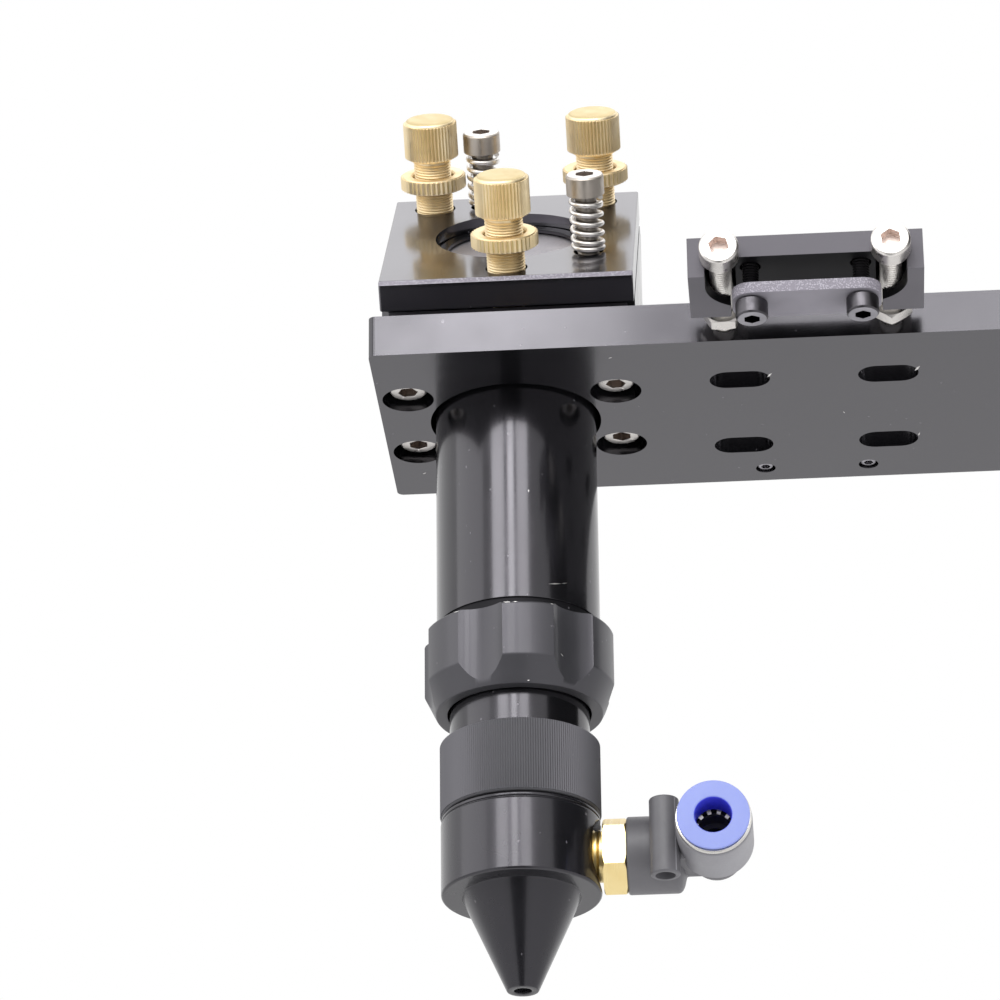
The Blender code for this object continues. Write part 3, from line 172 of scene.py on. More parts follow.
anodisedRubbed = blackAnodised("black_anodised_rubbed", base="#77747c", light="#918e96", rough=0.5, grain=2.4,
                               clear=0.0, ior=1.55)  # paler where the dye has thinned
anodisedWorn = blackAnodised("black_anodised_worn", base="#736f78", light="#8e8a93", rough=0.5, grain=2.4, clear=0.0,
                             ior=1.55, fleck="#a29fa8", fleckScale=3600, fleckFrom=0.56)  # flecked with bare metal
anodisedPaintedShade = blackAnodised("black_anodised_painted_shade", rough=0.5, clear=0.0, ior=1.3)  # black, with no sheen; painted shade on the tube's neck and in the clamp's pockets
bareAluminium = metal("bare_aluminium_nicked", "#f4f2f0", "#dcdad8", 0.4, 0.1, 3000, 3000, 3000)  # bright slivers

# Brass, pale yellow and soft where it was turned and knurled, bright where it was milled; darker copies are painted
# shade on the thumb heads' tops and in the knurl valleys
topShadeBrass = metal("pale_brass_top_painted_shade", "#decda2", "#d2bf92", 0.46, 0.05, 500, 500, 500)
paleBrass = metal("pale_brass_turned", "#ffeecb", "#f3ddb0", 0.46, 0.05, 500, 500, 500)
valleyShadeBrass = metal("pale_brass_knurl_valley_painted_shade", "#e0cf98", "#cebd84", 0.5, 0.05, 500, 500, 500)
brightBrass = metal("bright_brass_machined", "#fae6ae", "#efd799", 0.33, 0.06, 5000, 60, 60)

# Steel: turned faces mirror, rolled threads and satin heads blur, blackened screws stay dull; darker copies paint shade
# in the sockets and on the jaw screws' shafts, a paler one paints light in the clamp screws' sockets
stainless = metal("stainless_steel_turned", "#eeeae6", "#e2deda", 0.32, 0.02, 700, 700, 700)
satinSteel = metal("stainless_steel_satin", "#cbc3ba", "#b9b1a8", 0.42, 0.04, 700, 700, 700)
threadSteel = metal("stainless_steel_thread_rolled", "#faf7f3", "#efebe6", 0.44, 0.02, 700, 700, 700)
shaftSteel = metal("stainless_steel_rolled", "#a09a94", "#8a847e", 0.4, 0.02, 700, 700, 700)
socketLitSteel = metal("stainless_steel_socket_painted_light", "#fbf0ea", "#ecdcd4", 0.55, 0.05, 1500, 1500, 400)
socketShadeSteel = metal("stainless_steel_socket_painted_shade", "#c4b8b0", "#a89c94", 0.45, 0.1, 1500, 1500, 400)
springSteel = metal("spring_wire_drawn", "#f2eeea", "#e6e2de", 0.36, 0.01, 700, 700, 700)
blackSteel = metal("blackened_steel", "#5e5c60", "#4c4a4e", 0.36, 0.1, 1200, 1200, 1200)
blackSteelShade = metal("blackened_steel_painted_shade", "#2a292b", "#1c1b1d", 0.5, 0.1, 1200, 1200, 400)
greySteel = metal("blackened_steel_worn", "#b2b0b6", "#9c9aa0", 0.42, 0.1, 1200, 1200, 1200)
nickel = metal("nickel_plate", "#e8e6e2", "#dcd9d4", 0.2, 0.08, 60, 60, 5000)  # a clear pale mirror

# Optics: the mirror's ground back is a matt grey, its face clear; the lens is coated zinc selenide, amber
groundSilicon = metal("mirror_back_ground", "#b4b1b6", "#a3a0a6", 0.5, 0.06, 2500, 2500, 2500)
mirrorGlass = optic("polished_mirror", 120, 3, "#a39ea1", "#aca7aa", Metallic=1.0, Roughness=0.03)
lensGlass = optic("zinc_selenide_lens", 90, 2, "#e8a23c", "#f0ae4a", Roughness=0.04, IOR=2.4, Transmission_Weight=0.85)

# Resin and rubber: the collet's blue glows a little from inside, the rest is dull; a paler copy of the black resin
# paints light on the port, a darker blue paints shade in the collet's bore
blackResin = plastic("black_moulded_resin", "#656468", "#5b5a5e", 0.44, 0.10, IOR=1.53)
resinPaintedLight = plastic("black_resin_painted_light", "#8e8d92", "#848388", 0.44, 0.10, IOR=1.53)
blueResin = plastic("blue_moulded_resin", "#8794d6", "#7f8cce", 0.36, 0.06, Subsurface_Weight=0.15,
                    Subsurface_Radius=(0.0006, 0.0006, 0.002))
blueBoreShade = plastic("blue_resin_bore_painted_shade", "#4a4fe0", "#4146d6", 0.4, 0.06)
rubber = plastic("moulded_rubber", "#1c1c1c", "#141414", 0.65, 0.2)
print("materials made")


# Mesh helpers: sizes in millimetres, meshes in metres
def fromBmesh(name, shape, place=None):
    mesh = bpy.data.meshes.new(name)
    shape.to_mesh(mesh)
    shape.free()
    if place:
        mesh.transform(place)
    made = bpy.data.objects.new(name, mesh)
    work.objects.link(made)
    return made


# A small arc of three points for each corner of a (radius, height) profile, unless it is tiny or nearly straight
def rounded(profile, size, ring, least=0.02, straight=172, share=0.45):
    out, count = [], len(profile)
    for i, point in enumerate(profile):
        here = Vector(point)
        ends = not ring and i in (0, count - 1)
        if ends or here.x < 1e-6:
            out.append(tuple(here))
            continue
        before = Vector(profile[i - 1]) - here
        after = Vector(profile[(i + 1) % count]) - here
        reach = min(size, before.length * share, after.length * share)
        if reach < least or before.angle(after) > radians(straight):
            out.append(tuple(here))
            continue
        a, b = here + before.normalized() * reach, here + after.normalized() * reach
        middle = (a + b) / 4 + here / 2
        out += [tuple(a), tuple(middle), tuple(b)]
    return out


def lathe(name, profile, steps=96, ring=False, edge=0.15, place=None):  # the profile runs down the outer side
    profile = rounded(profile, edge, ring)
    shape = bmesh.new()
    rows = []
    for radius, height in profile:
        if radius < 1e-6:
            rows.append([shape.verts.new((0, 0, height * mm))])
            continue
        turns = [2 * pi * i / steps for i in range(steps)]
        rows.append([shape.verts.new((radius * cos(a) * mm, radius * sin(a) * mm, height * mm)) for a in turns])
    pairs = list(zip(rows, rows[1:])) + ([(rows[-1], rows[0])] if ring else [])
    for upper, lower in pairs:
        for i in range(steps):
            j = (i + 1) % steps
            corners = [upper[i % len(upper)], lower[i % len(lower)], lower[j % len(lower)], upper[j % len(upper)]]
            unique = list(dict.fromkeys(corners))
            if len(unique) > 2:
                shape.faces.new(unique)
    if not ring:
        for row, flip in ((rows[0], False), (rows[-1], True)):
            if len(row) > 1:
                shape.faces.new(row[::-1] if flip else row)
    bmesh.ops.recalc_face_normals(shape, faces=shape.faces)
    return fromBmesh(name, shape, place)


def sleeve(name, size, steps=96, place=None):  # a plain ring
    r, bore, high, low = size["radius"], size["bore"], size["high"], size["low"]
    return lathe(name, [(r, high), (r, low), (bore, low), (bore, high)], steps, True, size["edge"], place)


def prism(name, outline, low, high, place=None):  # a flat outline in XY, from low to high
    shape = bmesh.new()
    lower = [shape.verts.new((x * mm, y * mm, low * mm)) for x, y in outline]
    upper = [shape.verts.new((x * mm, y * mm, high * mm)) for x, y in outline]
    shape.faces.new(lower[::-1])
    shape.faces.new(upper)
    for i in range(len(outline)):
        j = (i + 1) % len(outline)
        shape.faces.new((lower[i], lower[j], upper[j], upper[i]))
    bmesh.ops.recalc_face_normals(shape, faces=shape.faces)
    return fromBmesh(name, shape, place)


def arc(x, y, radius, start, end, steps=12):
    turns = [radians(start + (end - start) * i / steps) for i in range(steps + 1)]
    return [(x + radius * cos(a), y + radius * sin(a)) for a in turns]


def roundRect(x0, y0, x1, y1, radius, steps=8):
    return (arc(x1 - radius, y1 - radius, radius, 0, 90, steps) + arc(x0 + radius, y1 - radius, radius, 90, 180, steps)
            + arc(x0 + radius, y0 + radius, radius, 180, 270, steps)
            + arc(x1 - radius, y0 + radius, radius, 270, 360, steps))


def block(name, low, high, place=None):
    return prism(name, [(low[0], low[1]), (high[0], low[1]), (high[0], high[1]), (low[0], high[1])], low[2], high[2],
                 place)


def rod(name, radius, low, high, at=(0, 0), sides=64, spin=0.0, place=None):
    outline = [(at[0] + radius * cos(2 * pi * i / sides + spin), at[1] + radius * sin(2 * pi * i / sides + spin))
               for i in range(sides)]
    return prism(name, outline, low, high, place)


def settle(obj):  # turns what is on the object's stack into its own mesh
    depsgraph = bpy.context.evaluated_depsgraph_get()
    mesh = bpy.data.meshes.new_from_object(obj.evaluated_get(depsgraph))
    obj.modifiers.clear()
    old = obj.data
    obj.data = mesh
    bpy.data.meshes.remove(old)
    return obj


def boolean(obj, tools, how="DIFFERENCE"):
    for tool in tools:
        step = obj.modifiers.new("cut", "BOOLEAN")
        step.operation = how
        step.solver = "EXACT"
        step.object = tool
    settle(obj)
    for tool in tools:
        bpy.data.objects.remove(tool, do_unlink=True)
    return obj


def soften(obj, width=0.2, segments=2, angle=35):
    step = obj.modifiers.new("edge", "BEVEL")
    step.width = width * mm
    step.segments = segments
    step.limit_method = "ANGLE"
    step.angle_limit = radians(angle)
    return settle(obj)


def wholly(obj, number):  # every face gets the piece's finish of that number
    obj.data.polygons.foreach_set("material_index", [number] * len(obj.data.polygons))
    return obj


def merge(obj, extras):  # other meshes join this piece and keep their finish
    shape = bmesh.new()
    shape.from_mesh(obj.data)
    for extra in extras:
        shape.from_mesh(extra.data)
        bpy.data.objects.remove(extra, do_unlink=True)
    shape.to_mesh(obj.data)
    shape.free()
    return obj


def finished(obj, finishes, pick):  # pick(x, y, z), in mm, says which finish a face gets
    obj.data.materials.clear()
    for finish in finishes:
        obj.data.materials.append(finish)
    for face in obj.data.polygons:
        face.material_index = int(pick(*(face.center / mm)))
    return obj


def nicked(obj, first, marks):  # small bright nicks, each a thin sliver just proud of the face: length, width, place
    finished(obj, (first, bareAluminium), lambda x, y, z: 0)
    slivers = []
    for long, wide, place in marks:
        outline = [(-long / 2, 0), (-long / 6, -wide / 2), (long / 2, 0), (long / 6, wide / 2)]
        slivers.append(wholly(prism("nick", outline, -0.03, 0.012, place), 1))
    return merge(obj, slivers)


# Puts the piece in its place, gives it its finish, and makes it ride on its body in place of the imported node
def dress(obj, body, node, material, angle=32, place=None):
    if place:
        obj.data.transform(place)
    if len(obj.data.materials) < 2:
        obj.data.materials.clear()
        obj.data.materials.append(material)
        wholly(obj, 0)
    obj.data.shade_smooth()
    obj.data.set_sharp_from_angle(angle=radians(angle))
    step = obj.modifiers.new("flat faces stay flat", "WEIGHTED_NORMAL")
    step.weight = 50
    step.keep_sharp = True
    settle(obj)
    work.objects.unlink(obj)
    scene.collection.objects.link(obj)
    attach(obj, body)
    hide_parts(node)
    return obj


# Geometry Nodes: straight knurl ribs and helical wire, as named groups
def openGroup(name, **sizes):  # a tree with a named input for each size and one for the finish
    tree = bpy.data.node_groups.new(name, "GeometryNodeTree")
    for label, first in sizes.items():
        kind = "NodeSocketInt" if isinstance(first, int) else "NodeSocketFloat"
        tree.interface.new_socket(label, in_out="INPUT", socket_type=kind).default_value = first
    tree.interface.new_socket("Finish", in_out="INPUT", socket_type="NodeSocketMaterial")
    tree.interface.new_socket("Geometry", in_out="OUTPUT", socket_type="NodeSocketGeometry")
    return tree, add(tree, "NodeGroupInput").outputs


def closeGroup(tree, shape, finish):
    real = add(tree, "GeometryNodeRealizeInstances", links={0: shape}).outputs[0]
    done = add(tree, "GeometryNodeSetMaterial", links={"Geometry": real, "Material": finish}).outputs[0]
    tree.links.new(done, add(tree, "NodeGroupOutput").inputs[0])
    return tree


def ribGroup():
    tree, given = openGroup("straight_knurl", Ribs=36, Radius=0.005, Low=0.0, High=0.005, Width=0.0008, Depth=0.0003)
    index = add(tree, "GeometryNodeInputIndex").outputs[0]
    part = add(tree, "ShaderNodeMath", {"operation": "DIVIDE"}, {0: index, 1: given["Ribs"]}).outputs[0]
    turn = add(tree, "ShaderNodeMath", {"operation": "MULTIPLY"}, {0: part, 1: 2 * pi}).outputs[0]
    middle = add(tree, "ShaderNodeMix", links={0: 0.5, 2: given["Low"], 3: given["High"]}).outputs[0]
    first = add(tree, "ShaderNodeCombineXYZ", links={0: given["Radius"], 2: middle}).outputs[0]
    spot = add(tree, "ShaderNodeVectorRotate", {"rotation_type": "Z_AXIS"}, {"Vector": first, "Angle": turn}).outputs[0]
    points = add(tree, "GeometryNodePoints", links={"Count": given["Ribs"], "Position": spot}).outputs[0]
    rib = add(tree, "GeometryNodeMeshCylinder", links={"Vertices": 4, "Radius": 1.0, "Depth": 1.0}).outputs["Mesh"]
    length = add(tree, "ShaderNodeMath", {"operation": "SUBTRACT"}, {0: given["High"], 1: given["Low"]}).outputs[0]
    half = add(tree, "ShaderNodeMath", {"operation": "MULTIPLY"}, {0: given["Width"], 1: 0.5}).outputs[0]
    size = add(tree, "ShaderNodeCombineXYZ", links={0: given["Depth"], 1: half, 2: length}).outputs[0]
    facing = add(tree, "ShaderNodeCombineXYZ", links={2: turn}).outputs[0]
    placed = add(tree, "GeometryNodeInstanceOnPoints", links={
        "Points": points, "Instance": rib, "Scale": size, "Rotation": facing}).outputs[0]
    return closeGroup(tree, placed, given["Finish"])


def helixGroup():
    tree, given = openGroup("helical_wire", Turns=6.0, Radius=0.003, Low=0.0, Height=0.01, Wire=0.0004, Sides=12,
                            Steps=40)
    path = add(tree, "GeometryNodeCurveSpiral", links={
        "Resolution": given["Steps"], "Rotations": given["Turns"], "Start Radius": given["Radius"],
        "End Radius": given["Radius"], "Height": given["Height"]})
    lift = add(tree, "ShaderNodeCombineXYZ", links={2: given["Low"]}).outputs[0]
    lifted = add(tree, "GeometryNodeSetPosition", links={"Geometry": path.outputs[0], "Offset": lift}).outputs[0]
    steady = add(tree, "GeometryNodeSetCurveNormal", {"mode": "Z_UP"}, {"Curve": lifted}).outputs[0]
    section = add(tree, "GeometryNodeCurvePrimitiveCircle", links={
        "Resolution": given["Sides"], "Radius": given["Wire"]}).outputs[0]
    swept = add(tree, "GeometryNodeCurveToMesh", links={
        "Curve": steady, "Profile Curve": section, "Fill Caps": True}).outputs[0]
    return closeGroup(tree, swept, given["Finish"])


ribs = ribGroup()
helix = helixGroup()


def grown(name, group, values):  # runs a node group and keeps the result as a plain mesh
    made = bpy.data.objects.new(name, bpy.data.meshes.new(name))
    work.objects.link(made)
    step = made.modifiers.new("grow", "NODES")
    step.node_group = group
    for item in group.interface.items_tree:
        if item.in_out == "INPUT" and item.name in values:
            step[item.identifier] = values[item.name]
    return wholly(settle(made), 0)


def knurl(name, count, radius, low, high, width, depth, finish):
    return grown(name, ribs, {
        "Ribs": count, "Radius": radius * mm, "Low": low * mm, "High": high * mm, "Width": width * mm,
        "Depth": depth * mm, "Finish": finish})


def coil(name, turns, radius, low, height, wire, finish, sides=12, steps=40):
    return grown(name, helix, {
        "Turns": turns, "Radius": radius * mm, "Low": low * mm, "Height": height * mm, "Wire": wire * mm,
        "Sides": sides, "Steps": steps, "Finish": finish})


# Mounting bar, its underside at height 0; a nick is x, y, turn, length and width
bar = dict(x0=tubeX - 23.3, x1=40.75, y=27.5, high=7.5, corner=1.2, edge=0.3, bore=14.9, slotX=12.75, slotY=12.75,
           slotLength=10.4, slotWidth=6.0, clampX=(-14.9, 13.4), tapped=2.2, bite=8.3,
           nicks=((17.7, -14.2, 62, 1.9, 0.5), (-7.6, -14.0, 60, 1.7, 0.45), (18.1, 11.3, 75, 1.2, 0.3),
                  (-34.5, -23.0, 20, 0.8, 0.25), (5.0, 1.5, 110, 0.7, 0.2), (-70.0, 19.0, 35, 0.9, 0.25)))
blockScrew = dict(x=18.0, y=10.3, recess=4.45, deep=5.4, clear=2.2, face=1.4, length=10.4)
setScrew = dict(x=9.15, y=22.6, hole=1.75, holeDeep=4.6, socket=1.5, socketDeep=2.3,
                profile=[(0, -0.3), (1.2, -0.3), (1.45, -0.55), (1.45, -4.1), (1.2, -4.3), (0, -4.3)])
m4 = dict(radius=1.9, head=3.3, tall=3.7, socket=3.0, socketDeep=2.0)
m3 = dict(radius=1.45, head=2.7, tall=3.0, socket=2.5, socketDeep=1.6)
barCut = (-5, 15)  # from below the bar to above it

body = prism("bar_machined", roundRect(bar["x0"], -bar["y"], bar["x1"], bar["y"], bar["corner"]), 0, bar["high"])
holes = [rod("bore", bar["bore"], *barCut, at=(tubeX, 0), sides=128)]
for sx in (-1, 1):
    for sy in (-1, 1):
        at = (tubeX + sx * blockScrew["x"], sy * blockScrew["y"])
        holes.append(rod("recess", blockScrew["recess"], barCut[0], blockScrew["deep"], at=at))
        holes.append(rod("clear", blockScrew["clear"], *barCut, at=at, sides=32))
        half, r = bar["slotLength"] / 2, bar["slotWidth"] / 2
        cx, cy = sx * bar["slotX"], sy * bar["slotY"]
        slotLine = arc(cx + half - r, cy, r, -90, 90) + arc(cx - half + r, cy, r, 90, 270)
        holes.append(prism("slot", slotLine, *barCut))
    holes.append(rod("setHole", setScrew["hole"], barCut[0], setScrew["holeDeep"],
                     at=(sx * setScrew["x"], setScrew["y"]), sides=32))
for x in bar["clampX"]:
    side = shift(x, -bar["y"], bar["high"] / 2) @ rotate(90, "X")
    holes.append(rod("tapped", bar["tapped"], -bar["bite"], 5, sides=32, place=side))
boolean(body, holes)
soften(body, bar["edge"])
down = rotate(180, "X")
nicked(body, anodisedFlat, [(long, wide, shift(x, y, 0) @ down @ rotate(turn, "Z"))
                            for x, y, turn, long, wide in bar["nicks"]])
body.data.materials.append(anodisedSoft)
body.data.materials.append(anodisedCut)
for face in body.data.polygons:
    if face.center.z > (bar["high"] - 0.05) * mm:  # the top is brushed, so it shines less
        face.material_index = 2
    elif face.center.z < 0.01 * mm and face.material_index == 0:  # the underside is fly cut
        face.material_index = 3
dress(body, "bar", "mounting_bar", anodisedFlat)


# A socket-head screw: head face at 0, thread below, with a hexagon socket; finishes are outside, socket, face, shaft
def socketScrew(name, size, length, place, finishes, pitch=0.5, threadFrom=None, steps=64):
    head, tall, r = size["head"], size["tall"], size["radius"]
    rim, root, tip = 0.35, 0.25, 0.3  # the head's chamfer, the thread's depth and the end's chamfer
    end = -tall - length
    line = [(0, 0), (head - rim, 0), (head, -rim), (head, -tall), (r, -tall)]
    if threadFrom is not None:
        line += [(r, -threadFrom), (r - root, -threadFrom - 0.1)]
    line += [(line[-1][0], end + tip), (r - 0.4, end), (0, end)]
    made = lathe(name, line, steps, edge=0.12)
    corner = size["socket"] / sqrt(3)
    hexagon = rod("hexagon", corner, -size["socketDeep"], 1, sides=6, spin=pi / 6)
    boolean(made, [hexagon])
    soften(made, 0.07, 1)

    # socket faces take a darker or paler copy of the steel: painted shade or painted light
    def pick(x, y, z):
        if hypot(x, y) < corner + 0.05 and -size["socketDeep"] - 0.05 < z < -0.06:
            return 1
        return 2 if z > -0.08 else 3 * (z < -tall - 0.02)

    finished(made, finishes, pick)
    if threadFrom is not None:
        long = -threadFrom - end - 0.4
        thread = coil(name + "_thread", long / pitch, r - root, end + tip, long, pitch * 0.42, finishes[3], sides=6,
                      steps=32)
        merge(made, [wholly(thread, 3)])
    made.data.transform(place)
    return made


for sx, xName in ((-1, "left"), (1, "right")):
    for sy, yName in ((-1, "front"), (1, "back")):
        node = f"block_screw_{xName}_{yName}"
        spot = shift(tubeX + sx * blockScrew["x"], sy * blockScrew["y"], blockScrew["face"])
        turned = rotate(17 + 31 * sx + 12 * sy, "Z")  # each screw stopped at its own angle
        screw = socketScrew(node + "_turned", m4, blockScrew["length"], spot @ down @ turned,
                            (stainless, socketShadeSteel, stainless, stainless))
        dress(screw, "bar", node, stainless)
    node = f"set_screw_{xName}"
    pin = lathe(node + "_turned", setScrew["profile"], 40)
    boolean(pin, [rod("hexagon", setScrew["socket"] / sqrt(3), -setScrew["socketDeep"], 1, sides=6)])
    dress(pin, "bar", node, greySteel, place=shift(sx * setScrew["x"], setScrew["y"], 0) @ down)
print("bar made")

# Mirror block and the frame of its sloping plate, which lies a gap above the slope
mount = dict(half=21.95, front=-18.0, back=20.0, corner=1.3, low=7.8, high=46.0, wall=5.35, window=6.0,
             windowAt=33.55, tapped=2.2, tappedHigh=16.1, springDeep=5.2, edge=0.25,
             bores=((14.3, 0, 14.3), (8.0, 0, 90)))  # radius, low, high: seat of the tube and shaft
plate = dict(half=21.95, long=50.2, thick=5.4, gap=0.9, over=2.55, mirrorAt=25.4, thumbHole=3.65, springHole=2.6,
             wedge=1.8, wedgeHalf=3, edge=0.3, holeEdge=0.12,
             opening=((13.4, 2.2, 10), (12.8, 0.5, 5), (11.3, -5, 10)))  # radius, low, high: thread, seat and rim
thumbs = {"left": (-14.6, 44.2), "right": (14.6, 44.2), "front": (0.0, 5.5)}
springs = {"back": (-5.5, 44.4), "front": (14.0, 13.5)}
slopeLow = mount["low"] + mount["wall"]
k = sqrt(0.5)
slope = shift(tubeX, mount["front"] - (plate["gap"] + plate["over"]) * k,
              slopeLow + (plate["gap"] - plate["over"]) * k) @ rotate(45, "X")

h, c, front, back = mount["half"], mount["corner"], mount["front"], mount["back"]
line = [(h, front + c), (h, back - c), (h - c, back), (c - h, back), (-h, back - c), (-h, front + c), (c - h, front),
        (h - c, front)]
body = prism("block_machined", line, mount["low"], mount["high"], toTube)
windowAt = shift(tubeX, 0, mount["windowAt"]) @ rotate(90, "X")
holes = [block("slopeCut", (-60, -60, -plate["gap"]), (60, 90, 60), slope)]
holes += [rod("bore", *size, sides=96, place=toTube) for size in mount["bores"]]
holes.append(rod("window", mount["window"], -40, 40, place=windowAt))
for sx in (-1, 1):
    for sy in (-1, 1):
        holes.append(rod("tapped", mount["tapped"], 0, mount["tappedHigh"],
                         at=(sx * blockScrew["x"], sy * blockScrew["y"]), sides=32, place=toTube))
for spot in springs.values():
    deep = mount["springDeep"]
    holes.append(rod("tapped", mount["tapped"], -deep, deep, at=spot, sides=32, place=slope))
boolean(body, holes)
soften(body, mount["edge"])
finished(body, (anodisedFlat, anodisedDull), lambda x, y, z: y < front + 0.5 and z < slopeLow)
dress(body, "bar", "mirror_block", anodisedFlat)

half, thick, cut = plate["half"], plate["thick"], plate["wedgeHalf"]
body = block("plate_machined", (-half, 0, 0), (half, plate["long"], thick))
wedge = shift(0, -plate["wedge"], thick + plate["wedge"]) @ rotate(45, "X")
boolean(body, [block("frontEdge", (-60, -cut, -cut), (60, cut, cut), wedge)])
soften(body, plate["edge"], 2, 50)
middle = (0, plate["mirrorAt"])
holes = [rod("opening", *size, at=middle, sides=128) for size in plate["opening"]]
holes += [rod("thumbHole", plate["thumbHole"], -5, 10, at=spot, sides=48) for spot in thumbs.values()]
holes += [rod("springHole", plate["springHole"], -5, 10, at=spot, sides=48) for spot in springs.values()]
boolean(body, holes)
soften(body, plate["holeEdge"], 2, 40)
finished(body, (anodisedPlate, anodisedWorn),  # the front edge has lost its dye
         lambda x, y, z: thick - 0.6 < z < thick - 0.05 and 0.05 < y < 0.6)
dress(body, "tilt_plate", "mirror_plate", anodisedPlate, place=slope)

disc = dict(profile=[(0, 2.2), (12.5, 2.2), (12.5, 0.8), (0, 0.8)], edge=0.2)
toMirror = slope @ shift(0, plate["mirrorAt"], 0)
glass = lathe("mirror_polished", disc["profile"], edge=disc["edge"])
finished(glass, (groundSilicon, mirrorGlass), lambda x, y, z: z < 1)
dress(glass, "tilt_plate", "mirror", groundSilicon, place=toMirror)
holder = dict(radius=13.1, bore=11.4, low=2.5, high=3.2, edge=0.12, notch=0.6, notchLow=2.75)
ring = sleeve("mirror_ring_turned", holder)
boolean(ring, [block("notch", (-holder["notch"], -20, holder["notchLow"]), (holder["notch"], 20, 5))])
dress(ring, "tilt_plate", "mirror_ring", anodisedTurned, place=toMirror)
print("mirror mount made")

# Thumb screws and lock nuts, on the slope frame; heights from the plate's underside
thumb = dict(core=3.05, wire=0.2, pitch=0.5, head=4.8, low=14.8, high=22.3, ribs=46, tip=-0.6, point=2.2, rib=0.5,
             ribDeep=0.32)
nut = dict(radius=5.85, low=9.4, high=12.0, bore=3.65, ribs=40, rib=0.68, ribDeep=0.34, edge=0.35)
for name, spot in thumbs.items():
    place = slope @ shift(*spot, 0) @ rotate(9 + 23 * spot[0], "Z")  # each stopped at its own angle
    core, low, high = thumb["head"] - thumb["ribDeep"], thumb["low"], thumb["high"]
    line = [(0, high), (core - 0.9, high), (core - 0.25, high - 0.25), (core, high - 0.75), (core, low + 0.6),
            (core - 0.6, low), (thumb["core"], low), (thumb["core"], 0.4), (thumb["point"], thumb["tip"]),
            (0, thumb["tip"])]
    made = lathe("thumb_" + name + "_turned", line, 96, edge=0.25)
    # the head's top face and the knurl's valleys take darker brass: painted shade
    finished(made, (paleBrass, valleyShadeBrass, topShadeBrass),
             lambda x, y, z: 2 if z > high - 0.3 else hypot(x, y) > core - 0.02 and low + 0.6 < z < high - 0.75)
    teeth = knurl("teeth", thumb["ribs"], core, low + 0.55, high - 0.75, thumb["rib"], thumb["ribDeep"], paleBrass)
    long = low - 0.7
    thread = coil("thread", long / thumb["pitch"], thumb["core"] + 0.1, 0.4, long, thumb["wire"], paleBrass, sides=4,
                  steps=32)
    merge(made, [teeth, thread])
    dress(made, "thumb_" + name, "thumb_screw_" + name, paleBrass, place=place)
    r, low, high, bore, edge = nut["radius"] - nut["ribDeep"], nut["low"], nut["high"], nut["bore"], nut["edge"]
    line = [(r - 0.1, high), (r, high - edge), (r, low + edge), (r - 0.1, low), (bore + edge, low), (bore, low + edge),
            (bore, high - edge), (bore + edge, high)]
    made = lathe("nut_" + name + "_turned", line, 96, ring=True, edge=0.1)
    # the knurl's valleys take darker brass: painted shade
    finished(made, (paleBrass, valleyShadeBrass), lambda x, y, z: hypot(x, y) > r - 0.02 and low + 0.4 < z < high - 0.4)
    merge(made, [knurl("teeth", nut["ribs"], r, low + 0.2, high - 0.2, nut["rib"], nut["ribDeep"], paleBrass)])
    dress(made, "nut_" + name, "lock_nut_" + name, paleBrass, place=place @ rotate(4, "Z"))

spring = dict(radius=2.58, wire=0.44, low=5.7, high=15.4, turns=4.2)
springScrew = dict(headLow=15.7, length=15.2, pitch=0.7, plain=8.0)
for name, spot in springs.items():
    place = slope @ shift(*spot, 0)
    node = "spring_screw_" + name
    headTop = shift(0, 0, springScrew["headLow"] + m4["tall"])
    screw = socketScrew(node + "_turned", m4, springScrew["length"], place @ headTop,
                        (satinSteel, socketShadeSteel, stainless, shaftSteel), pitch=springScrew["pitch"],
                        threadFrom=m4["tall"] + springScrew["plain"])
    dress(screw, "bar", node, stainless)
    w = spring["wire"]
    long = spring["high"] - spring["low"]
    wire = coil("spring_" + name + "_wound", spring["turns"], spring["radius"], spring["low"] + 3 * w, long - 6 * w,
                w, springSteel)
    lower, upper = [coil("closed_end", 0.98, spring["radius"], start, 2 * w * 0.98, w, springSteel)
                    for start in (spring["low"] + w, spring["high"] - 3 * w)]
    merge(wire, [lower, upper])
    dress(wire, "bar", "plate_spring_" + name, springSteel, 60, place=place)
print("screws and springs made")


def tangent(turn, radius, height, tilt):  # a place on a turned face, at a turn about the axis; degrees and mm
    return rotate(turn, "Z") @ shift(radius, 0, height) @ rotate(90, "Y") @ rotate(tilt, "Z")


# Focus tube, collar, lens cell and nozzle: profiles are (radius, height) from the tube's axis and the bar's underside
# A scratch or a nick is turn, height, tilt, length and width
tube = dict(profile=[(14.0, 14.0), (14.0, -39.8), (13.7, -39.8), (13.7, -53.5), (12.2, -53.5), (12.2, 14.0)],
            edge=0.2, radius=14.0, inner=13, neck=(-53.4, -39.82),
            scratches=((-59.8, -36.9, 12, 2.4, 0.22), (-52.0, -36.4, 20, 1.3, 0.12), (-78.0, -20.0, 85, 0.5, 0.15)))
body = lathe("tube_turned", tube["profile"], 160, ring=True, edge=tube["edge"], place=toTube)
finished(body, (anodisedTurned, anodisedPaintedShade),  # the neck lies in the collar's shade
         lambda x, y, z: tube["neck"][0] < z < tube["neck"][1] and hypot(x - tubeX, y) > tube["inner"])
body.data.materials.append(bareAluminium)
scratches = []
for turn, height, tilt, long, wide in tube["scratches"]:
    sliver = prism("scratch", [(-long / 2, 0), (0, -wide / 2), (long / 2, 0), (0, wide / 2)], -0.06, 0.012,
                   toTube @ tangent(turn, tube["radius"], height, 90 + tilt))
    scratches.append(wholly(sliver, 2))
merge(body, scratches)
dress(body, "bar", "outer_tube", anodisedTurned)

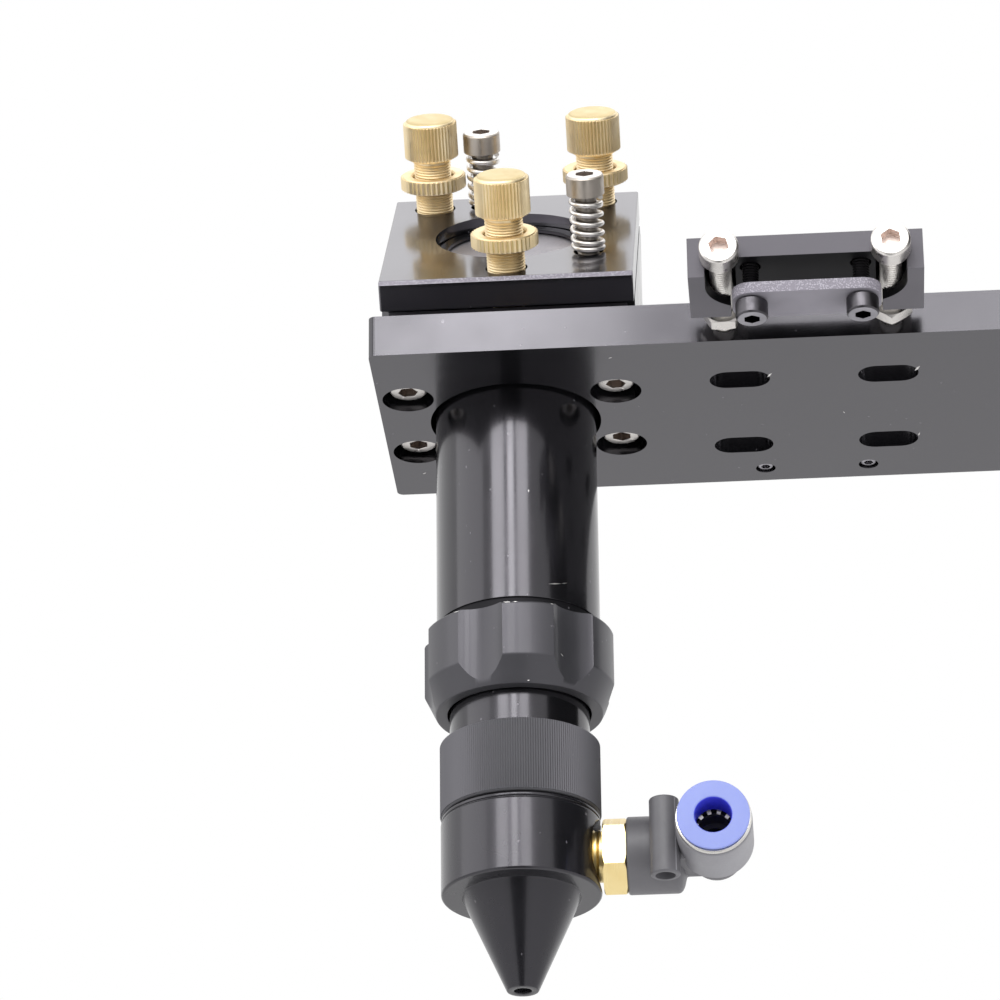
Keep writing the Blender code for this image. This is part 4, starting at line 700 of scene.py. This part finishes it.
collar = dict(profile=[(16.1, -41.6), (16.35, -41.9), (16.35, -51.3), (14.2, -55.8), (12.2, -55.8), (12.2, -53.8),
                       (14.0, -53.8), (14.0, -41.6)], flutes=6, fluteRadius=8.05, fluteOut=22.75, firstFlute=9.6,
              edge=0.22, skin=16.36, shoulder=-51.3, taper=0.478,
              nicks=((-66, -41.9, 80, 0.6, 0.12), (-93, -41.86, 88, 1.3, 0.09), (-88, -41.84, 88, 0.7, 0.08),
                     (-60, -51.0, 40, 0.7, 0.12), (-80, -55.4, 88, 0.4, 0.12), (-126, -41.9, 85, 1.2, 0.1)))
body = lathe("collar_turned", collar["profile"], 160, ring=True, edge=0.25)
flutes = []
for i in range(collar["flutes"]):
    a, out = radians(collar["firstFlute"] + 360 / collar["flutes"] * i), collar["fluteOut"]
    flutes.append(rod("flute", collar["fluteRadius"], -70, 0, at=(out * cos(a), out * sin(a)), sides=96))
boolean(body, flutes)
soften(body, collar["edge"], 2, 30)
marks = []
for turn, height, tilt, long, wide in collar["nicks"]:
    out = collar["skin"] - max(0, collar["shoulder"] - height) * collar["taper"]
    marks.append((long, wide, tangent(turn, out, height, tilt)))
nicked(body, anodisedSoft, marks)
dress(body, "collar", "lock_collar", anodisedSoft, place=toTube)

innerTube = dict(radius=11.9, bore=10.7, high=-20.0, low=-65.5, edge=0.2)
dress(sleeve("inner_tube_turned", innerTube, 144, toTube), "focus_tube", "inner_tube", anodisedTurned)

cell = dict(core=13.42, ribs=200, rib=0.4, ribDeep=0.18, high=-61.5, low=-74.6, edge=0.35,
            inside=[(12.0, -74.6), (12.0, -71.3), (10.3, -71.3), (10.3, -66.8), (8.4, -66.8), (8.4, -65.8),
                    (12.2, -65.8), (12.2, -61.5)])
r, high, low, edge = cell["core"], cell["high"], cell["low"], cell["edge"]
line = [(r - edge, high), (r, high - edge), (r, low + edge), (r - edge, low)] + cell["inside"]
body = lathe("cell_turned", line, 160, ring=True, edge=0.15)
merge(body, [knurl("teeth", cell["ribs"], r, low + 0.3, high - 0.3, cell["rib"], cell["ribDeep"], anodisedKnurl)])
dress(body, "cell", "lens_cell", anodisedKnurl, place=toTube)

lens = dict(radius=10.0, high=-68.4, low=-69.8, bulge=0.8, rings=10)
outward = [1 - i / lens["rings"] for i in range(lens["rings"] + 1)]
bulge = [(lens["radius"] * share, lens["low"] - lens["bulge"] * (1 - share ** 2)) for share in outward]
glass = lathe("lens_ground", [(0, lens["high"]), (lens["radius"], lens["high"])] + bulge, 96, edge=0.12, place=toTube)
dress(glass, "cell", "focus_lens", lensGlass)


def sealRing(name, radius, wire, height, place):
    section = [(radius + wire * cos(2 * pi * i / 20), height - wire * sin(2 * pi * i / 20)) for i in range(20)]
    return lathe(name, section, 96, ring=True, edge=0, place=place)


lensSeal = dict(radius=9.5, wire=0.5, height=-67.6)
dress(sealRing("lens_seal_moulded", place=toTube, **lensSeal), "cell", "lens_seal", rubber)
retainer = dict(radius=10.0, bore=8.4, high=-70.9, low=-71.7, edge=0.12)
dress(sleeve("retainer_turned", retainer, place=toTube), "cell", "lens_retainer", anodisedTurned)

nozzle = dict(profile=[(11.7, -72.0), (11.7, -74.9), (13.2, -74.9), (13.4, -75.1), (13.4, -75.5), (13.2, -75.6),
                       (13.2, -75.75), (13.5, -75.95), (13.5, -88.4), (13.2, -88.7), (10.05, -88.7), (2.65, -105.3),
                       (1.45, -105.3), (1.45, -102.4), (8.5, -86.5), (8.5, -72.0)], edge=0.22,
              spotFace=(6.2, 12.0, 30), port=(4.8, 4.3, 30))  # radius, from and to, along the gas axis
body = lathe("nozzle_turned", nozzle["profile"], 160, ring=True, edge=nozzle["edge"], place=toTube)
boolean(body, [rod("spotFace", *nozzle["spotFace"], sides=96, place=toGas),
               rod("port", *nozzle["port"], sides=48, place=toGas)])
soften(body, 0.1, 2, 40)
dress(body, "nozzle", "nozzle", anodisedNozzle)
print("tube and nozzle made")


def crownedHexagon(name, size, steps, spin=0.0):  # its corners are turned down; face is where the turning starts
    corner, low, high = size["flats"] / sqrt(3), size["low"], size["high"]
    outer, face, drop = corner + 0.02, size["face"], size["drop"]
    crown = lathe("crown", [(0, high), (face, high), (outer, high - drop), (outer, low + drop), (face, low), (0, low)],
                  steps, edge=0)
    return boolean(rod(name, corner, low, high, sides=6, spin=spin), [crown], "INTERSECT")


# Gas fitting, along +X from the tube's axis
stem = dict(profile=[(4.0, 22.0), (4.0, 15.6), (4.3, 15.6), (4.3, 9.0), (2.2, 9.0), (2.2, 22.0)], edge=0.15)
stemHexagon = dict(flats=11.8, low=13.85, high=17.8, face=6.2127, drop=0.3, bore=3.0, edge=0.12)
stemThread = dict(radius=4.25, low=9.2, long=4.2, pitch=0.9, wire=0.32)
body = lathe("stem_turned", stem["profile"], 72, ring=True, edge=stem["edge"])
hexagon = crownedHexagon("hexagon", stemHexagon, 96)
soften(hexagon, stemHexagon["edge"], 2, 25)
boolean(hexagon, [rod("hexBore", stemHexagon["bore"], 10, 20, sides=48)])
thread = coil("thread", stemThread["long"] / stemThread["pitch"], stemThread["radius"], stemThread["low"],
              stemThread["long"], stemThread["wire"], brightBrass, sides=4, steps=32)
merge(body, [hexagon, thread])
dress(body, "nozzle", "gas_fitting_stem", brightBrass, 28, place=toGas)

# Elbow: a leg along the gas axis, a port towards the front with a round end, and a boss joined by a web
bossAt = shift(tubeX + 24.4, -8.6, gasZ)
elbow = dict(leg=[(0, 34.0), (3.8, 34.0), (3.8, 27.7), (5.4, 27.3), (6.2, 26.9), (6.55, 26.4), (6.55, 18.1),
                  (6.3, 17.86), (0, 17.86)], port=[(0, 15.1), (6.15, 15.1), (6.4, 14.85), (6.4, 4.9), (5.6, 4.1)],
             roundEnd=4.6, boss=[(0, 6.5), (2.3, 6.5), (2.5, 6.3), (2.5, -6.85), (2.3, -7.05), (0, -7.05)],
             web=((-1.1, 0.5, -4), (5.95, 7.5, 4)), edge=0.22, barrel=(6.0, 6.6), barrelEnds=(4.5, 15.2),
             holes=(("bossHole", 1.7, -9, 9, 40, bossAt), ("socket", 4.3, 10, 22.3, 48, toGas),  # sides before place
                    ("channel", 2.2, 18, 33.3, 40, toGas), ("cavity", 4.9, 8.6, 20, 64, toPort),
                    ("tubeSocket", 3.3, 5.2, 15, 48, toPort), ("portChannel", 2.4, -2.4, 15, 48, toPort)))
body = lathe("elbow_moulded", elbow["leg"], 80, edge=0.3, place=toGas)
r = elbow["roundEnd"]
line = elbow["port"] + [(r * cos(radians(a)), -r * sin(radians(a))) for a in range(-30, 90, 10)] + [(0, -r)]
port = lathe("port", line, 80, edge=0.3, place=toPort)
boss = lathe("boss", elbow["boss"], 56, place=bossAt)
web = block("web", *elbow["web"], bossAt)
boolean(body, [port, boss, web], "UNION")
boolean(body, [rod(name, radius, low, high, sides=sides, place=place)
               for name, radius, low, high, sides, place in elbow["holes"]])
soften(body, elbow["edge"], 2, 40)
fromPort = toPort.inverted()


def onPort(x, y, z):  # the outside of the port's barrel
    spot = fromPort @ Vector((x * mm, y * mm, z * mm)) / mm
    return (elbow["barrel"][0] < hypot(spot.x, spot.y) < elbow["barrel"][1]
            and elbow["barrelEnds"][0] < spot.z < elbow["barrelEnds"][1])


# the port's barrel takes paler resin: painted light
finished(body, (blackResin, resinPaintedLight), onPort)
dress(body, "elbow", "elbow_body", blackResin, 40)

portRing = dict(radius=6.3, bore=4.9, high=16.4, low=15.4, edge=0.3)
dress(sleeve("port_ring_plated", portRing, place=toPort), "elbow", "port_ring", nickel)

collet = dict(profile=[(6.05, 17.5), (6.05, 17.0), (4.6, 17.0), (4.6, 11.9), (3.05, 11.9), (3.05, 17.3), (3.22, 17.5)],
              edge=0.16, bore=3.15, boreTop=17.4)
body = lathe("collet_moulded", collet["profile"], 96, ring=True, edge=collet["edge"])
# the bore takes a darker blue: painted shade
finished(body, (blueResin, blueBoreShade), lambda x, y, z: hypot(x, y) < collet["bore"] and z < collet["boreTop"])
dress(body, "collet", "release_collet", blueResin, place=toPort)

grab = dict(radius=4.6, bore=4.2, high=11.1, low=10.7, edge=0.05, teeth=12, lean=-13, root=4.3, height=11.0,
            tooth=[(0, -0.5), (0, 0.5), (-1.58, 0.3), (-1.58, -0.3)], half=0.12)
body = sleeve("grab_ring_stamped", grab, 64)
lean = shift(grab["root"], 0, grab["height"]) @ rotate(grab["lean"], "Y")
turns = [360 * (i + 0.5) / grab["teeth"] for i in range(grab["teeth"])]
merge(body, [prism("tooth", grab["tooth"], -grab["half"], grab["half"], rotate(turn, "Z") @ lean) for turn in turns])
dress(body, "elbow", "grab_ring", springSteel, place=toPort)
portSeal = dict(radius=3.95, wire=0.65, height=9.75)
dress(sealRing("port_seal_moulded", place=toPort, **portSeal), "elbow", "port_seal", rubber)
print("gas fitting made")

# Belt clamp: block, jaw and their screws; X from the clamp's middle
clampX = -0.75
toClamp = shift(clampX, 0, 0)
jawScrew = dict(x=9.15, y=-46.9, face=-6.3, length=10.4, hole=1.75, plain=0.4)
clampScrew = dict(x=14.15, y=-54.6, z=3.75, length=31.4, hole=2.2, pitch=0.7, plain=0.4)
clamp = dict(half=19.5, front=-50.6, back=-36.2, high=7.4, gap=12.65, beam=3.5, inner=11.65, outer=16.75,
             pocketEnd=-39.3, pocketCorner=7.5, pocketTurn=71.34, roof=6.4, edge=0.55)
body = block("clamp_machined", (-clamp["half"], clamp["front"], 0), (clamp["half"], clamp["back"], clamp["high"]))
holes = [block("beltGap", (-clamp["gap"], -70, -5), (clamp["gap"], -20, clamp["beam"]))]
r = clamp["pocketCorner"]
corner = arc(clamp["outer"] - r, clamp["pocketEnd"] - r, r, 0, clamp["pocketTurn"], 16)
for sx in (-1, 1):
    line = [(sx * x, y) for x, y in [(clamp["inner"], -70), (clamp["outer"], -70)] + corner]
    holes.append(prism("pocket", line, -5, clamp["roof"]))
    through = shift(sx * clampScrew["x"], 0, clampScrew["z"]) @ rotate(90, "X")
    holes.append(rod("through", clampScrew["hole"], 20, 60, sides=40, place=through))
    holes.append(rod("beamHole", jawScrew["hole"], 0, 15, at=(sx * jawScrew["x"], jawScrew["y"]), sides=40))
boolean(body, holes)
soften(body, clamp["edge"], 3)
finished(body, (anodisedDull, anodisedPaintedShade),  # painted shade inside the pockets
         lambda x, y, z: abs(x) < clamp["outer"] - 0.02 and clamp["front"] + 0.7 < y and 0.6 < z < clamp["roof"] + 0.05)
dress(body, "belt_clamp", "belt_clamp_block", anodisedDull, place=toClamp)

jaw = dict(half=12.35, front=-50.2, back=-41.4, corner=3.2, low=-3.0, high=-1.0, grooves=(-49.2, -47.2, -45.2, -43.2),
           groove=1.0, grooveHalf=6.5, grooveLow=-1.7, edge=0.15)
body = prism("jaw_machined", roundRect(-jaw["half"], jaw["front"], jaw["half"], jaw["back"], jaw["corner"]),
             jaw["low"], jaw["high"])
holes = [block("groove", (-jaw["grooveHalf"], y, jaw["grooveLow"]), (jaw["grooveHalf"], y + jaw["groove"], 5))
         for y in jaw["grooves"]]
holes += [rod("jawHole", jawScrew["hole"], -9, 5, at=(sx * jawScrew["x"], jawScrew["y"]), sides=40) for sx in (-1, 1)]
boolean(body, holes)
soften(body, jaw["edge"])
finished(body, (anodisedWorn, anodisedRubbed), lambda x, y, z: z < jaw["low"] + 0.05)
dress(body, "jaw", "belt_clamp_jaw", anodisedWorn, place=toClamp)

clampNut = dict(flats=7.0, low=3.6, high=6.5, face=3.5, drop=0.35, bore=2.2, y=-27.5)
for sx, name in ((-1, "left"), (1, "right")):
    spot = shift(clampX + sx * jawScrew["x"], jawScrew["y"], jawScrew["face"])
    screw = socketScrew(f"jaw_screw_{name}_turned", m3, jawScrew["length"], spot @ down,
                        (blackSteel, blackSteelShade, greySteel, blackSteelShade), threadFrom=m3["tall"] + jawScrew["plain"])
    dress(screw, "jaw", f"jaw_screw_{name}", blackSteel)
    x = clampX + sx * clampScrew["x"]
    spot = shift(x, clampScrew["y"], clampScrew["z"]) @ rotate(90, "X") @ rotate(40 + 25 * sx, "Z")
    screw = socketScrew(f"clamp_screw_{name}_turned", m4, clampScrew["length"], spot,
                        (stainless, socketLitSteel, stainless, threadSteel), pitch=clampScrew["pitch"],
                        threadFrom=m4["tall"] + clampScrew["plain"])
    dress(screw, "bar", f"clamp_screw_{name}", stainless)
    nutBody = crownedHexagon(f"clamp_nut_{name}_machined", clampNut, 72, spin=0.0 if sx < 0 else pi / 6)
    boolean(nutBody, [rod("nutBore", clampNut["bore"], -5, 9, sides=40)])
    spot = shift(x, clampNut["y"], clampScrew["z"]) @ rotate(90, "X")
    dress(nutBody, "bar", f"clamp_nut_{name}", stainless, 28, spot)
print("belt clamp made")

scene.collection.children.unlink(work)
bpy.data.collections.remove(work)


# Camera at the photograph's angle, fitted to it; focal is in pixels of a picture 1000 wide
def sightLines(side, rise, roll):
    forward = Vector((sin(side) * cos(rise), cos(side) * cos(rise), sin(rise)))
    right = forward.cross(Vector((0, 0, 1))).normalized()
    up = right.cross(forward)
    return forward, cos(roll) * right + sin(roll) * up, cos(roll) * up - sin(roll) * right


shot = dict(side=-0.069638, rise=0.445735, roll=-0.010515, distance=845.0, target=(tubeX - 2.9527, 0, -14.9828),
            focal=4867.73, pixels=1000, sensor=36, near=0.05, far=20)
forward, right, up = sightLines(shot["side"], shot["rise"], shot["roll"])
cameraData = bpy.data.cameras.new("camera")
cameraData.sensor_width = shot["sensor"]
cameraData.lens = shot["focal"] / shot["pixels"] * shot["sensor"]
cameraData.clip_start = shot["near"]
cameraData.clip_end = shot["far"]
camera = bpy.data.objects.new("camera", cameraData)
scene.collection.objects.link(camera)
camera.matrix_world = Matrix.Translation((Vector(shot["target"]) - forward * shot["distance"]) * mm) @ Matrix(
    (right, up, -forward)).transposed().to_4x4()
scene.camera = camera

# Studio, in metres: white surroundings that light shaded faces a little less than they show in mirrors
surroundings = dict(colour="#ffffff", seen=1.0, unseen=0.75)
world = bpy.data.worlds.new("studio")
scene.world = world
world.use_nodes = True
tree = world.node_tree
tree.nodes.clear()
rays = add(tree, "ShaderNodeLightPath").outputs
mirrored = add(tree, "ShaderNodeMath", {"operation": "MAXIMUM"}, {
    0: rays["Is Glossy Ray"], 1: rays["Is Transmission Ray"]}).outputs[0]
seen = add(tree, "ShaderNodeMath", {"operation": "MAXIMUM"}, {0: rays["Is Camera Ray"], 1: mirrored}).outputs[0]
strength = add(tree, "ShaderNodeMapRange", links={
    "Value": seen, "To Min": surroundings["unseen"], "To Max": surroundings["seen"]}).outputs[0]
sky = add(tree, "ShaderNodeBackground", links={"Color": linear(surroundings["colour"]), "Strength": strength})
tree.links.new(sky.outputs[0], add(tree, "ShaderNodeOutputWorld").inputs[0])

studioMiddle = Vector((-0.03, 0, -0.02))  # the middle of the head, which lights and cards face
softBoxes = dict(window_left=((-0.33, -0.72, 0.345), 0.24, 0.4, 1.55),  # place, width, height, power in watts
                 window_middle=((-0.085, -0.72, 0.345), 0.11, 0.4, 1.1),
                 window_right=((0.12, -0.72, 0.345), 0.2, 0.4, 1.15), left_bank=((-0.83, -0.32, 0.23), 0.7, 0.9, 1.9),
                 top_bank=((0.1, 0.24, 0.96), 1.0, 0.8, 1.5), table_bounce=((0.5, -0.1, -0.45), 0.6, 0.6, 2.0))
for name, (place, width, height, power) in softBoxes.items():
    data = bpy.data.lights.new(name, "AREA")
    data.shape = "RECTANGLE"
    data.size, data.size_y = width, height
    data.energy = power
    made = bpy.data.objects.new(name, data)
    scene.collection.objects.link(made)
    made.visible_glossy = name != "table_bounce"  # light off the table, which no face mirrors
    made.location = studioMiddle + Vector(place)
    made.rotation_euler = (-Vector(place)).to_track_quat("-Z", "Y").to_euler()


def stagePanel(name, width, height, place, finish):  # a flat sheet of the studio, not a piece of the head
    w, h = width / 2, height / 2
    mesh = bpy.data.meshes.new(name)
    mesh.from_pydata([(-w, -h, 0), (w, -h, 0), (w, h, 0), (-w, h, 0)], [], [(0, 1, 2, 3)])
    mesh.transform(place)
    mesh.materials.append(finish)
    made = bpy.data.objects.new(name, mesh)
    scene.collection.objects.link(made)
    return made


blackCard = blank("black_card", Roughness=0.9, Base_Color=linear("#0a0a0a"))[0]
paper = blank("white_paper", Roughness=0.9, Base_Color=linear("#f4f4f4"))[0]
blackCards = dict(card_below=((-0.04, -0.43, -0.42), 0.3, 0.6), card_right=((0.52, -0.07, 0.2), 0.7, 0.5))
for name, (place, width, height) in blackCards.items():  # seen only in reflections, as a photographer's black card
    facing = (-Vector(place)).to_track_quat("-Z", "Y").to_matrix().to_4x4()
    card = stagePanel(name, width, height, Matrix.Translation(studioMiddle + Vector(place)) @ facing, blackCard)
    card.visible_camera = card.visible_shadow = card.visible_diffuse = False
stagePanel("floor", 12, 12, Matrix.Translation((0, 0, -0.62)), paper)  # far below, so it takes no sharp shadow
scene.view_settings.view_transform = "Standard"

print("scene made")
